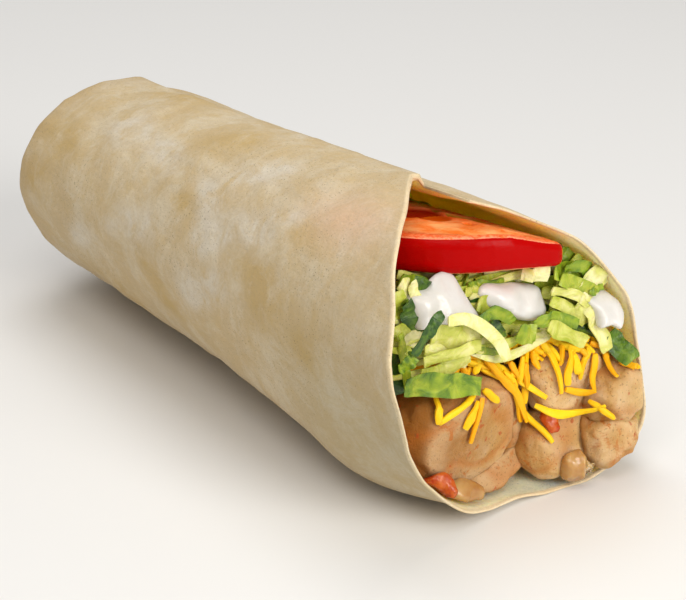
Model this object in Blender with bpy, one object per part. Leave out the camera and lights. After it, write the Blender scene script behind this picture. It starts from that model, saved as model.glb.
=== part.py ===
"""A chicken soft taco, lying on its side as it is served.

One flour tortilla is rolled round its filling, folded shut at one end and open at the other.
In the mouth show chunks of seasoned chicken, grated cheese, shredded lettuce, three dollops of
soured cream, half a slice of tomato, and bits of onion and diced tomato.

Metres, +Z up. The roll lies along Y, with its mouth facing -Y. "Run" is the distance from the
plane of the mouth towards the folded end. "Angle" goes round the roll, in degrees: 0 is its far
side (+X), 90 its top, 180 its near side and 270 its underside. The origin is under the middle
of the whole, on the surface that it rests on.
"""

import math

import bmesh
import bpy
from mathutils import Matrix, Vector, noise
from mathutils.bvhtree import BVHTree

# The roll, measured over the outside of the tortilla.
ROLL_LENGTH = 0.166
MOUTH_HALF_WIDTH, MOUTH_HALF_HEIGHT = 0.0332, 0.0328
END_HALF_WIDTH, END_HALF_HEIGHT = 0.0338, 0.0252
TOP_POWER = 1.9  # of the section's upper half: under 2 is peaked, over 2 is boxy
BOTTOM_POWER, MOUTH_BOTTOM_POWER = 2.4, 3.7
BOXY_RUN, BOXY_SPREAD = 0.0115, 0.037  # where the underside is at its boxiest, and how far that goes
LEAN = -0.256  # how far the top leans to the near side, for each unit of height
END_DRIFT = 0.0041  # how far the folded end lies to the far side
FLAT_SINK = 0.0004  # how much of the underside is pressed flat
END_ROUNDING, END_POWER = 0.017, 1.65
BULGE, BULGE_ANGLE, BULGE_RUN = 0.045, 230, 0.021  # chicken pushes the wall out, low on the near side
CURL, CURL_ANGLE, CURL_LENGTH = 0.14, 225, 0.0118  # and there the mouth's edge curls in

# The tortilla: thickness, the rolled layers' edges, the folded end and the mouth's edge.
WALL = 0.0022
SEAM_ANGLE = 78  # the outer layer's free edge, just past the top
INNER_EDGE_ANGLE = 128  # the inner layer's pressed edge, which thins out under the outer layer
SEAM_FADE_NEAR, SEAM_FADE_FAR = 125, 100  # degrees over which the step dies out
END_LAYERS = 3
FOLD_STEP, FOLD_HEIGHT, FOLD_SLOPE = 0.0016, 0.030, -0.35
LIP = ((-90, 0.0), (42, 0.0008), (62, 0.0148), (73.5, 0.0160), (77.4, 0.0286), (82, 0.0283))
LIP += ((166, -0.0094), (215, -0.0048), (270, 0.0))
CORNER_ANGLE, SWEEP_POWER = 82, 1.72  # from this corner the edge sweeps down the near side

# Where the roll stands, so that the origin is under the middle of the whole.
MOUTH_Y = -0.0785
AXIS_X = -0.00231

# The layers inside, as shares of the roll's height, each tipped up to the far side.
CLEAR, WALL_CLEAR = 0.0003, 0.0008  # gaps: between pieces that touch, and from a layer to the wall
CHICKEN_TOP, CHEESE_TOP, LETTUCE_TOP = 0.43, 0.505, 0.71
LAYER_TILT, LETTUCE_TILT = 0.08, 0.0
ROOF = 0.90
BED_FRONT = 0.0165
LAYER_BACK = 0.148
LETTUCE_RISE = (0.066, 0.074)  # run over which the lettuce fills the space behind the tomato

COLUMNS = 48
SMOOTH_ANGLE = math.radians(40)


def smooth_step(share):
    share = min(max(share, 0.0), 1.0)
    return share * share * (3 - 2 * share)


def between(low, high, share):
    return low + (high - low) * share


def remove_scene_objects():
    for obj in list(bpy.data.objects):
        bpy.data.objects.remove(obj, do_unlink=True)


def new_collection(name):
    collection = bpy.data.collections.new(name)
    bpy.context.scene.collection.children.link(collection)
    return collection


def food_material(name, colour, roughness):
    material = bpy.data.materials.new(name)
    material.use_nodes = True
    shader = material.node_tree.nodes["Principled BSDF"]
    shader.inputs["Base Color"].default_value = (*colour, 1)
    shader.inputs["Roughness"].default_value = roughness
    shader.inputs["Metallic"].default_value = 0.0
    return material


def object_from(bm, name, collection, material):
    bmesh.ops.recalc_face_normals(bm, faces=bm.faces)
    if bm.calc_volume(signed=True) < 0:
        bmesh.ops.reverse_faces(bm, faces=bm.faces)
    mesh = bpy.data.meshes.new(name)
    bm.to_mesh(mesh)
    bm.free()
    mesh.materials.append(material)
    mesh.shade_smooth()
    mesh.set_sharp_from_angle(angle=SMOOTH_ANGLE)
    obj = bpy.data.objects.new(name, mesh)
    collection.objects.link(obj)
    return obj


# ---------------------------------------------------------------- the roll's shape


def half_width(run):
    return between(MOUTH_HALF_WIDTH, END_HALF_WIDTH, min(max(run / ROLL_LENGTH, 0), 1))


def half_height(run):
    return between(MOUTH_HALF_HEIGHT, END_HALF_HEIGHT, min(max(run / ROLL_LENGTH, 0), 1))


def section(angle, run):
    """The roll's outline at this angle, as (across, up) for a half width and height of 1."""
    across, up = math.cos(math.radians(angle)), math.sin(math.radians(angle))
    boxy = math.exp(-(((max(run, 0) - BOXY_RUN) / BOXY_SPREAD) ** 2))
    lower_power = between(BOTTOM_POWER, MOUTH_BOTTOM_POWER, boxy)
    power = between(lower_power, TOP_POWER, 0.5 + 0.5 * math.tanh(up / 0.25))
    reach = (abs(across) ** power + abs(up) ** power) ** (-1 / power)
    return reach * across + LEAN * reach * up, reach * up


def closing(run):
    """How wide the roll still is, as a share: 1 along its length, falling to 0 at the folded end."""
    share = (run - (ROLL_LENGTH - END_ROUNDING)) / END_ROUNDING
    share = min(max(share, 0.0), 1.0)
    return (1 - share**END_POWER) ** (1 / END_POWER)


def turn_between(angle, other):
    return (angle - other + 180) % 360 - 180


def swell(angle, run):
    """How much wider the roll is than its plain outline: the bulge low down, and the edge's curl."""
    out = turn_between(angle, BULGE_ANGLE) / 34, (run - BULGE_RUN) / 0.013
    curl = turn_between(angle, CURL_ANGLE) / 36, max(run, 0) / CURL_LENGTH
    bulge = BULGE * math.exp(-(out[0] ** 2) - out[1] ** 2)
    return 1 + bulge - CURL * math.exp(-(curl[0] ** 2) - curl[1] ** 1.5)


def roll_point(angle, run, proud=0.0, layers=0.0):
    """A point that stands this far proud of the roll's outline. Layers of tortilla thicken its end."""
    across, up = section(angle, run)
    shrink = closing(run + layers * WALL)
    wide = (half_width(run) + proud) * shrink
    high = (half_height(run) + proud) * shrink
    wider = swell(angle, run)
    x = wide * across * wider + END_DRIFT * run / ROLL_LENGTH
    z = half_height(run) + high * up * between(1, wider, 0.6) - FLAT_SINK
    return Vector((x + AXIS_X, run + MOUTH_Y, max(z, -min(proud, 0.0))))


def outer_step(angle):
    """How far the outer layer stands over the inner one on the near side of the seam."""
    turn = (angle - SEAM_ANGLE) % 360
    if turn < SEAM_FADE_NEAR:
        return WALL / 2 * (1 - smooth_step(turn / SEAM_FADE_NEAR))
    return -WALL / 2 * (1 - smooth_step((360 - turn) / SEAM_FADE_FAR))


def inner_step(angle):
    """The same for the inside, where the inner layer runs on under the outer one and thins out."""
    angle %= 360
    step = outer_step(angle) - WALL
    if SEAM_ANGLE < angle < INNER_EDGE_ANGLE:
        step -= WALL * (1 - smooth_step((angle - SEAM_ANGLE) / (INNER_EDGE_ANGLE - SEAM_ANGLE)))
    return step


def inside_point(angle, run, clear=CLEAR):
    return roll_point(angle, run, inner_step(angle) - clear, END_LAYERS)


def lip_run(angle):
    """Where the mouth's edge lies at this angle: it dips back at the top and comes forward low down."""
    angle = (angle + 90) % 360 - 90
    for (start, first), (end, last) in zip(LIP, LIP[1:]):
        if angle <= end:
            share = (angle - start) / (end - start)
            swept = 1 - (1 - share) ** SWEEP_POWER if start == CORNER_ANGLE else smooth_step(share)
            return between(first, last, swept)
    return 0.0


def roll_angles():
    """Angles round the roll, with a close pair at the outer layer's free edge, where it steps."""
    pitch = 360 / COLUMNS
    angles = [i * pitch for i in range(COLUMNS) if abs(i * pitch - SEAM_ANGLE) > pitch / 3]
    return sorted(angles + [SEAM_ANGLE - 0.5, SEAM_ANGLE + 0.5])


# ---------------------------------------------------------------- making solids


def loft(rings, first_pole=None, last_pole=None):
    """A closed surface through rings of points. Each end closes on its pole, or with a flat face."""
    bm = bmesh.new()
    rows = [[bm.verts.new(point) for point in ring] for ring in rings]
    for row, after in zip(rows, rows[1:]):
        for i in range(len(row)):
            bm.faces.new((row[i], row[i - 1], after[i - 1], after[i]))
    for row, pole in ((rows[0], first_pole), (rows[-1], last_pole)):
        if pole is None:
            bm.faces.new(row)
            continue
        tip = bm.verts.new(pole)
        for i in range(len(row)):
            bm.faces.new((row[i], row[i - 1], tip))
    return bm


def apply_boolean(obj, operation, solver, target=None, targets=None):
    modifier = obj.modifiers.new(operation.lower(), "BOOLEAN")
    modifier.operation = operation
    modifier.solver = solver
    if targets:
        modifier.operand_type = "COLLECTION"
        modifier.collection = targets
    else:
        modifier.object = target
    graph = bpy.context.evaluated_depsgraph_get()
    mesh = bpy.data.meshes.new_from_object(obj.evaluated_get(graph))
    obj.modifiers.clear()
    obj.data = mesh


def drop_scraps(mesh):
    """Keeps the largest connected body of a mesh."""
    bm = bmesh.new()
    bm.from_mesh(mesh)
    unseen = set(bm.verts)
    bodies = []
    while unseen:
        front = [unseen.pop()]
        body = list(front)
        while front:
            vertex = front.pop()
            near = [edge.other_vert(vertex) for edge in vertex.link_edges]
            near = [other for other in near if other in unseen]
            unseen.difference_update(near)
            front += near
            body += near
        bodies.append(body)
    bodies.sort(key=len)
    for body in bodies[:-1]:
        bmesh.ops.delete(bm, geom=body, context="VERTS")
    bm.to_mesh(mesh)
    bm.free()


def fuse(core, pieces, name):
    """Joins the loose pieces to their core, as one solid."""
    loose = new_collection(name + "_pieces")
    for piece in pieces:
        for collection in list(piece.users_collection):
            collection.objects.unlink(piece)
        loose.objects.link(piece)
    apply_boolean(core, "UNION", "MANIFOLD", targets=loose)
    for piece in pieces:
        bpy.data.objects.remove(piece, do_unlink=True)
    bpy.data.collections.remove(loose)
    drop_scraps(core.data)
    core.data.shade_smooth()
    core.data.set_sharp_from_angle(angle=SMOOTH_ANGLE)
    return core


def tree_of(objects):
    """A search tree over the faces of these objects, for laying one piece on others."""
    points, faces = [], []
    for obj in objects:
        first = len(points)
        points += [obj.matrix_world @ vertex.co for vertex in obj.data.vertices]
        faces += [[first + i for i in face.vertices] for face in obj.data.polygons]
    return BVHTree.FromPolygons(points, faces)


def front_of(tree, x, z, deepest):
    """How far in a thing pushed through the mouth at this place gets before it touches these."""
    hit = tree.ray_cast(Vector((x, MOUTH_Y - 0.06, z)), Vector((0, 1, 0)))[0]
    return deepest if hit is None else min(hit.y - MOUTH_Y, deepest)


# ---------------------------------------------------------------- the tortilla


def fold_dip(point, run):
    """The folded end's upper layers lie a step behind the last fold, which is pulled up from below."""
    edge = FOLD_HEIGHT + FOLD_SLOPE * (point.x - AXIS_X)
    above = 0.5 + 0.5 * math.tanh((point.z - edge) / 0.0012)
    return FOLD_STEP * above * (1 - closing(run))


def make_tortilla(collection):
    angles = roll_angles()
    rings = []
    inner_rows, outer_rows, end_rows = 7, 11, 6
    inner_length = ROLL_LENGTH - END_LAYERS * WALL

    def row_run(angle, share, length, back):
        return share * length + (lip_run(angle) + back) * (1 - share) ** 2

    end_start = 1 - END_ROUNDING / ROLL_LENGTH
    for i in range(end_rows, 0, -1):  # the inside, from the folded end to the mouth
        share = between(end_start, 1, math.sin(math.radians(84 * i / end_rows)))
        rings.append([inside_point(a, share * inner_length, 0.0) for a in angles])
    for i in range(inner_rows, -1, -1):
        share = end_start * (i / inner_rows) ** 1.3
        back = WALL / 3
        rings.append([inside_point(a, row_run(a, share, inner_length, back), 0.0) for a in angles])
    for part in (0.7, 0.3):  # the mouth's edge
        rings.append(
            [
                roll_point(a, lip_run(a), between(outer_step(a), inner_step(a), part))
                for a in angles
            ]
        )
    for i in range(outer_rows + 1):  # the outside, back to the folded end
        share = end_start * (i / outer_rows) ** 1.3
        rings.append(
            [
                roll_point(a, row_run(a, share, ROLL_LENGTH, WALL / 3), outer_step(a))
                for a in angles
            ]
        )
    for i in range(1, end_rows + 1):
        share = between(end_start, 1, math.sin(math.radians(84 * i / end_rows)))
        run = share * ROLL_LENGTH
        ring = [roll_point(a, run, outer_step(a)) for a in angles]
        rings.append([p - Vector((0, fold_dip(p, run), 0)) for p in ring])
    middle = Vector((AXIS_X + END_DRIFT, MOUTH_Y, END_HALF_HEIGHT))
    bm = loft(
        rings,
        middle + Vector((0, inner_length, 0)),
        middle + Vector((0, ROLL_LENGTH, 0)),
    )
    bmesh.ops.triangulate(bm, faces=bm.faces)
    return object_from(
        bm, "tortilla", collection, food_material("tortilla", (0.62, 0.50, 0.33), 0.75)
    )


# ---------------------------------------------------------------- layers that run through


def wall_turn(run, height, side):
    """Degrees from the underside, round the far (+1) or near (-1) side, to where a height is met."""
    low, high = 0.0, 178.0
    for _ in range(24):
        turn = (low + high) / 2
        point = inside_point(-90 + side * turn, run, WALL_CLEAR)
        if point.z < height(point.x, run):
            low = turn
        else:
            high = turn
    return (low + high) / 2


def layer_ring(run, low, high, wall_steps, flat_steps):
    """The outline of a layer that fills the roll from wall to wall, between two heights."""
    far_top, near_top = (wall_turn(run, high, side) for side in (1, -1))
    far_base, near_base = (wall_turn(run, low, side) if low else 0.0 for side in (1, -1))
    ring = []
    for i in range(wall_steps + 1):
        turn = between(far_base, far_top, i / wall_steps)
        ring.append(inside_point(-90 + turn, run, WALL_CLEAR))
    near = []
    for i in range(wall_steps + 1):
        turn = between(near_top, near_base, i / wall_steps)
        near.append(inside_point(270 - turn, run, WALL_CLEAR))
    for i in range(1, flat_steps):
        ring.append(ring[wall_steps].lerp(near[0], i / flat_steps))
    ring += near
    if low:
        ring += [near[-1].lerp(ring[0], i / flat_steps) for i in range(1, flat_steps)]
    else:
        ring.pop()
    return ring


def layer_through(low, high, front, lag=0.0, rows=9, wall_steps=6, flat_steps=6):
    """A layer through the roll. Its front leans back, by the lag over the roll's height."""
    rings = []
    for i in range(rows + 1):
        share = (i / rows) ** 1.2
        run = between(front, LAYER_BACK, share)
        ring = layer_ring(run, low, high, wall_steps, flat_steps)
        for point in ring:
            point.y += lag * (point.z / (2 * half_height(run)) - 0.5) * (1 - share) ** 3
        rings.append(ring)
    bm = loft(rings)
    bmesh.ops.triangulate(bm, faces=bm.faces)
    return bm


def chicken_top(x, run):
    return 2 * half_height(run) * CHICKEN_TOP + LAYER_TILT * (x - AXIS_X) - CLEAR / 2


def cheese_base(x, run):
    return chicken_top(x, run) + CLEAR


def cheese_top(x, run):
    return 2 * half_height(run) * CHEESE_TOP + LAYER_TILT * (x - AXIS_X) - CLEAR / 2


def lettuce_base(x, run):
    return cheese_top(x, run) + CLEAR


def lettuce_top(x, run):
    start, end = LETTUCE_RISE
    under_tomato = 2 * half_height(run) * LETTUCE_TOP + LETTUCE_TILT * (x - AXIS_X)
    roof = 2 * half_height(run) * ROOF
    return between(under_tomato, roof, smooth_step((run - start) / (end - start)))


# ---------------------------------------------------------------- chicken

# Each chunk: name, middle (across, run, up), half sizes, turn about Z and about Y in degrees.
CHUNKS = (
    ("chicken_left", (-0.0068, 0.0095, 0.0168), (0.0150, 0.0090, 0.0112), 6, 6),
    ("chicken_round", (0.0198, 0.0082, 0.0226), (0.0072, 0.0072, 0.0076), -10, 0),
    ("chicken_middle", (0.0162, 0.0060, 0.0088), (0.0074, 0.0066, 0.0070), 5, -20),
    ("chicken_far", (0.0280, 0.0020, 0.0180), (0.0062, 0.0072, 0.0060), 20, -20),
    ("chicken_far_low", (0.0272, 0.0020, 0.0084), (0.0072, 0.0066, 0.0062), 12, 15),
    ("chicken_slab", (0.0068, 0.0108, 0.0158), (0.0050, 0.0044, 0.0096), 0, -12),
    ("chicken_flake", (0.0013, 0.0088, 0.0050), (0.0088, 0.0056, 0.0030), 8, -13),
)
CHUNK_POWER = 2.4


def superellipsoid(direction, power):
    total = sum(abs(part) ** power for part in direction)
    return direction * total ** (-1 / power)


def make_chunk(name, middle, half_sizes, turn, tip, grow=0.0, rough=0.0008, columns=16):
    """A rounded, slightly lumpy chunk. The same chunk grown a little cuts its neighbours back."""
    bm = bmesh.new()
    bmesh.ops.create_uvsphere(bm, u_segments=columns, v_segments=columns * 5 // 8, radius=1)
    place = Matrix.Translation(Vector(middle) + Vector((AXIS_X, MOUTH_Y, 0)))
    place = place @ Matrix.Rotation(math.radians(turn), 4, "Z")
    place = place @ Matrix.Rotation(math.radians(tip), 4, "Y")
    seed = Vector((len(name), middle[0] * 500, middle[2] * 500))
    for vertex in bm.verts:
        direction = vertex.co.normalized()
        lump = noise.noise(direction * 1.6 + seed) * rough * 2
        lump += noise.noise(direction * 4.1 + seed) * rough
        unit = superellipsoid(direction, CHUNK_POWER)
        sized = Vector([u * (size + grow + lump) for u, size in zip(unit, half_sizes)])
        vertex.co = place @ sized
    return bm


def pressed_in(point, clear):
    """The point, or the nearest one to it that is this far inside the tortilla."""
    run = point.y - MOUTH_Y
    middle = Vector((AXIS_X, point.y, half_height(run)))
    offset = point - middle
    wall = inside_point(angle_of(offset, run), run, clear) - middle
    share = min(wall.length / max(offset.length, 1e-9), 1)
    pressed = middle + offset * share
    pressed.z = max(pressed.z, WALL + clear)
    return pressed


def keep_inside(bm, back=None):
    """Presses a piece against the tortilla's inside, the top of its layer and the bed behind it."""
    for vertex in bm.verts:
        vertex.co = pressed_in(vertex.co, CLEAR)
        if back is not None:
            run = vertex.co.y - MOUTH_Y
            vertex.co.y = min(vertex.co.y, MOUTH_Y + back - CLEAR)
            vertex.co.z = min(vertex.co.z, chicken_top(vertex.co.x, run) - CLEAR)


def angle_of(offset, run):
    """The roll's own angle for a direction across it, found by halving."""
    aim = math.atan2(offset.z, offset.x)
    low, high = math.degrees(aim) - 40, math.degrees(aim) + 40
    for _ in range(20):
        angle = (low + high) / 2
        across, up = section(angle, run)
        here = math.atan2(up * half_height(run), across * half_width(run))
        short = (here - aim + math.pi) % (2 * math.pi) - math.pi
        if short < 0:
            low = angle
        else:
            high = angle
    return (low + high) / 2 % 360


def make_chicken(collection, cutters):
    material = food_material("chicken", (0.72, 0.45, 0.25), 0.55)
    made = []
    for chunk in CHUNKS:
        bm = make_chunk(*chunk)
        keep_inside(bm, BED_FRONT)
        obj = object_from(bm, chunk[0], collection, material)
        for other in made:
            apply_boolean(obj, "DIFFERENCE", "MANIFOLD", target=other["cutter"])
        drop_scraps(obj.data)
        cutter = object_from(make_chunk(*chunk, grow=CLEAR * 1.6), chunk[0] + "_cut", cutters, material)
        cutter.hide_render = True
        cutter.display_type = "WIRE"
        made.append({"piece": obj, "cutter": cutter})
    bed = object_from(
        layer_through(None, chicken_top, BED_FRONT, wall_steps=12),
        "chicken_bed",
        collection,
        material,
    )
    return [entry["piece"] for entry in made] + [bed]


# ---------------------------------------------------------------- cheese and lettuce


def ribbon(route, width, thickness, ruffle=0.0, columns=1, seed=0.0):
    """A strip along a route of points, facing the mouth: a grid laid on the route, given a thickness."""
    bm = bmesh.new()
    bmesh.ops.create_grid(bm, x_segments=columns, y_segments=len(route) - 1, size=0.5)
    for vertex in bm.verts:
        step = round((vertex.co.y + 0.5) * (len(route) - 1))
        side = vertex.co.x  # -0.5 to 0.5 across the strip
        here = route[step]
        ahead = route[min(max(step + 1, 2), len(route) - 1)] - route[max(step - 1, 1)]
        across = ahead.cross(Vector((0, -1, 0))).normalized()
        wave = ruffle * math.sin(2.1 * step + seed) * abs(2 * side) ** 1.5
        taper = 0.7 if step in (0, len(route) - 1) else 1.0
        vertex.co = here + across * side * width * taper + Vector((0, wave - ruffle, 0))
    bmesh.ops.recalc_face_normals(bm, faces=bm.faces)
    bmesh.ops.solidify(bm, geom=bm.faces[:], thickness=thickness)
    keep_inside(bm)
    bmesh.ops.triangulate(bm, faces=bm.faces)
    return bm


def strip_route(tree, core, strip, thickness, points):
    """From its root in the core, a strip comes out and hangs down over what is in front of it.

    A strip is its start and end (across, up), how far it bows out between them, and its width.
    One that starts away from the core lies on the strips that are already there."""
    start, end, bow, width = strip
    start, end = Vector(start), Vector(end)
    bow_way = Vector((start.y - end.y, end.x - start.x)).normalized()
    root = front_of(core, start.x + AXIS_X, start.y, ROLL_LENGTH)
    rooted = root < ROLL_LENGTH
    limit = root if rooted else ROOTLESS
    reach = (-width * 0.7, 0, width * 0.7)
    route = []
    for i in range(points):
        share = i / (points - 1)
        place = start.lerp(end, share) + bow_way * (bow * 4 * share * (1 - share))
        point = Vector((place.x + AXIS_X, MOUTH_Y + 0.003, place.y))
        point = pressed_in(point, CLEAR + width / 2)
        near = [front_of(tree, point.x + dx, point.z + dz, limit) for dx in reach for dz in reach]
        point.y = MOUTH_Y + min(near) - thickness / 2 - 3 * CLEAR
        route.append(point)
    level = [min(point.y for point in route[max(i - 1, 0) : i + 2]) for i in range(points)]
    for point, y in zip(route, level):
        point.y = y
    if rooted:
        route.insert(0, Vector((route[0].x, MOUTH_Y + root + STRIP_ROOT, route[0].z)))
    return route


STRIP_ROOT = 0.003  # how deep in its core a strip starts
ROOTLESS = 0.010  # where a strip with nothing behind it lies

# Each shred of cheese: its start and end (across, up), bow and width.
SHREDS = (
    ((-0.0044, 0.0315), (0.0050, 0.0181), 0.0016, 0.0020),
    ((-0.0085, 0.0310), (0.0075, 0.0240), 0.0004, 0.0020),
    ((0.0007, 0.0320), (0.0027, 0.0242), 0.0000, 0.0020),
    ((0.0069, 0.0325), (0.0062, 0.0209), 0.0000, 0.0020),
    ((0.0110, 0.0325), (0.0125, 0.0228), -0.0012, 0.0020),
    ((0.0153, 0.0327), (0.0145, 0.0240), -0.0004, 0.0020),
    ((0.0191, 0.0315), (0.0175, 0.0250), 0.0000, 0.0020),
    ((0.0214, 0.0320), (0.0139, 0.0241), 0.0034, 0.0020),
    ((0.0061, 0.0218), (0.0207, 0.0183), -0.0012, 0.0020),
    ((0.0196, 0.0193), (0.0255, 0.0146), 0.0000, 0.0020),
    ((0.0044, 0.0200), (0.0098, 0.0132), 0.0000, 0.0020),
    ((-0.0155, 0.0300), (-0.0171, 0.0245), 0.0000, 0.0020),
    ((-0.0082, 0.0290), (-0.0164, 0.0243), 0.0004, 0.0020),
    ((-0.0056, 0.0290), (-0.0092, 0.0180), -0.0006, 0.0020),
    ((-0.0070, 0.0300), (-0.0025, 0.0252), 0.0000, 0.0020),
    ((0.0285, 0.0320), (0.0300, 0.0275), 0.0000, 0.0020),
    ((0.0262, 0.0325), (0.0305, 0.0220), 0.0006, 0.0020),
)
SHRED_THICKNESS = 0.0016
CHEESE_FRONT = 0.0110


def make_cheese(collection, below):
    material = food_material("cheese", (0.93, 0.50, 0.05), 0.45)
    core = object_from(
        layer_through(cheese_base, cheese_top, CHEESE_FRONT, wall_steps=2),
        "cheese",
        collection,
        material,
    )
    core_tree = tree_of([core])
    shreds = []
    for i, shred in enumerate(SHREDS):
        route = strip_route(tree_of(below + [core]), core_tree, shred, SHRED_THICKNESS, 7)
        bm = ribbon(route, shred[3], SHRED_THICKNESS)
        shreds.append(object_from(bm, f"shred_{i}", collection, material))
    return fuse(core, shreds, "cheese")


# Each strip of lettuce: the same.
LEAVES = (
    ((-0.0235, 0.0360), (-0.0041, 0.0342), -0.0006, 0.0026),
    ((-0.0160, 0.0393), (-0.0053, 0.0335), 0.0006, 0.0030),
    ((-0.0234, 0.0345), (-0.0054, 0.0282), -0.0016, 0.0050),
    ((-0.0091, 0.0398), (0.0012, 0.0314), 0.0035, 0.0025),
    ((-0.0098, 0.0424), (-0.0185, 0.0367), -0.0006, 0.0018),
    ((-0.0172, 0.0446), (-0.0202, 0.0400), 0.0000, 0.0022),
    ((-0.0190, 0.0453), (-0.0182, 0.0390), 0.0008, 0.0026),
    ((-0.0229, 0.0377), (-0.0205, 0.0335), 0.0000, 0.0030),
    ((-0.0200, 0.0450), (-0.0138, 0.0446), 0.0000, 0.0030),
    ((-0.0169, 0.0454), (-0.0217, 0.0395), -0.0006, 0.0026),
    ((-0.0056, 0.0450), (-0.0001, 0.0432), 0.0000, 0.0030),
    ((-0.0016, 0.0405), (0.0045, 0.0372), -0.0004, 0.0022),
    ((0.0007, 0.0448), (0.0151, 0.0430), -0.0006, 0.0030),
    ((0.0046, 0.0364), (0.0107, 0.0359), 0.0000, 0.0038),
    ((0.0138, 0.0382), (0.0209, 0.0320), 0.0010, 0.0040),
    ((0.0142, 0.0390), (0.0216, 0.0372), 0.0000, 0.0030),
    ((0.0145, 0.0448), (0.0205, 0.0445), 0.0000, 0.0030),
    ((0.0186, 0.0446), (0.0263, 0.0416), 0.0000, 0.0046),
    ((0.0205, 0.0445), (0.0262, 0.0405), 0.0004, 0.0036),
    ((0.0187, 0.0418), (0.0241, 0.0405), -0.0004, 0.0044),
    ((0.0212, 0.0388), (0.0252, 0.0315), 0.0000, 0.0034),
    ((0.0240, 0.0385), (0.0252, 0.0285), 0.0000, 0.0022),
    ((0.0286, 0.0385), (0.0270, 0.0275), 0.0000, 0.0030),
)
LEAF_THICKNESS, LEAF_RUFFLE = 0.0007, 0.0006
LETTUCE_FRONT, LETTUCE_LAG = 0.0120, 0.022


def make_lettuce(collection, below):
    material = food_material("lettuce", (0.45, 0.62, 0.12), 0.4)
    core = object_from(
        layer_through(lettuce_base, lettuce_top, LETTUCE_FRONT, LETTUCE_LAG, 11, 4),
        "lettuce",
        collection,
        material,
    )
    core_tree = tree_of([core])
    leaves = []
    for i, leaf in enumerate(LEAVES):
        route = strip_route(tree_of(below + [core]), core_tree, leaf, LEAF_THICKNESS, 5)
        bm = ribbon(route, leaf[3], LEAF_THICKNESS, LEAF_RUFFLE, 1, i * 1.7)
        leaves.append(object_from(bm, f"leaf_{i}", collection, material))
    return fuse(core, leaves, "lettuce")


# ---------------------------------------------------------------- tomato slice

TOMATO_RADIUS, TOMATO_THICKNESS = 0.0285, 0.0078
TOMATO_FRONT = (0.0131, 0.0026, 0.0494)  # the front corner of the straight cut, at the underside
TOMATO_TURN, TOMATO_ROLL, TOMATO_PITCH = 7, 1.7, 4
TOMATO_BEVEL = 0.0020
# Next to its straight cut the slice is squashed: it reaches out, thins and droops.
SQUASHED, REACH, THINNING, DROOP = 0.012, 0.0033, 0.34, 0.0013


def make_tomato(collection):
    """Half a round slice: the straight cut lies along the far side, the skin faces the near side."""
    bm = bmesh.new()
    steps = 26
    outline = []
    for i in range(steps + 1):
        angle = math.radians(between(-90, -270, i / steps))
        x, y = TOMATO_RADIUS * math.cos(angle), TOMATO_RADIUS * (1 + math.sin(angle))
        outline.append(bm.verts.new((x, y, 0)))
    face = bm.faces.new(outline)
    top = bmesh.ops.extrude_face_region(bm, geom=[face])["geom"]
    bmesh.ops.translate(
        bm,
        verts=[item for item in top if isinstance(item, bmesh.types.BMVert)],
        vec=(0, 0, TOMATO_THICKNESS),
    )
    bmesh.ops.recalc_face_normals(bm, faces=bm.faces)
    rims = [
        edge
        for edge in bm.edges
        if abs(edge.verts[0].co.z - edge.verts[1].co.z) < 1e-6
        or edge.calc_face_angle() > math.radians(60)
    ]
    bmesh.ops.bevel(bm, geom=rims, offset=TOMATO_BEVEL, segments=2, affect="EDGES", profile=0.5)
    for vert in bm.verts:
        end = smooth_step((vert.co.x + SQUASHED) / SQUASHED)
        vert.co.x += REACH * end
        vert.co.z = vert.co.z * (1 - THINNING * end) - DROOP * end
    place = Matrix.Translation(Vector(TOMATO_FRONT) + Vector((AXIS_X, MOUTH_Y, 0)))
    place = place @ Matrix.Rotation(math.radians(TOMATO_TURN), 4, "Z")
    place = place @ Matrix.Rotation(math.radians(TOMATO_ROLL), 4, "Y")
    place = place @ Matrix.Rotation(math.radians(-TOMATO_PITCH), 4, "X")
    bmesh.ops.transform(bm, matrix=place, verts=bm.verts)
    bmesh.ops.triangulate(bm, faces=bm.faces)
    return object_from(
        bm, "tomato_slice", collection, food_material("tomato", (0.62, 0.04, 0.02), 0.25)
    )


# ---------------------------------------------------------------- soured cream

# Each dollop: name, middle (across, run, up) and half sizes.
DOLLOPS = (
    ("sour_cream_left", (-0.0086, 0.0078, 0.0436), (0.0058, 0.0042, 0.0062)),
    ("sour_cream_middle", (0.0062, 0.0060, 0.0418), (0.0066, 0.0040, 0.0040)),
    ("sour_cream_right", (0.0246, 0.0022, 0.0372), (0.0040, 0.0036, 0.0044)),
)


def laid_on(tree, entry, **shape):
    """A soft or small piece, brought forward to what it lies on and pressed flat against it."""
    name, middle, half_sizes, turn, tip = entry
    across, run, up = middle
    wide, deep, high = half_sizes
    ahead = [
        front_of(tree, across + AXIS_X + dx * wide, up + dz * high, run + deep)
        for dx in (-0.85, 0, 0.85)
        for dz in (-0.85, 0, 0.85)
    ]
    run = min(run, min(ahead) + 0.3 * deep)
    bm = make_chunk(name, (across, run, up), half_sizes, turn, tip, **shape)
    keep_inside(bm)
    for vertex in bm.verts:
        near = [
            front_of(tree, vertex.co.x + dx, vertex.co.z + dz, 1.0)
            for dx in (-LAID_REACH, 0, LAID_REACH)
            for dz in (-LAID_REACH, 0, LAID_REACH)
        ]
        ahead = max(MOUTH_Y + run - vertex.co.y, 0)
        vertex.co.y = min(vertex.co.y, MOUTH_Y + min(near) - 3 * CLEAR - ahead * LAID_DEPTH)
    return bm


LAID_REACH, LAID_DEPTH = 0.0011, 0.7


def make_sour_cream(collection, below):
    material = food_material("sour_cream", (0.93, 0.92, 0.88), 0.3)
    tree = tree_of(below)
    made = []
    for name, middle, half_sizes in DOLLOPS:
        bm = laid_on(tree, (name, middle, half_sizes, 0, 0), rough=0.0003, columns=15)
        made.append(object_from(bm, name, collection, material))
    return made


# ---------------------------------------------------------------- onion and diced tomato

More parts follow.
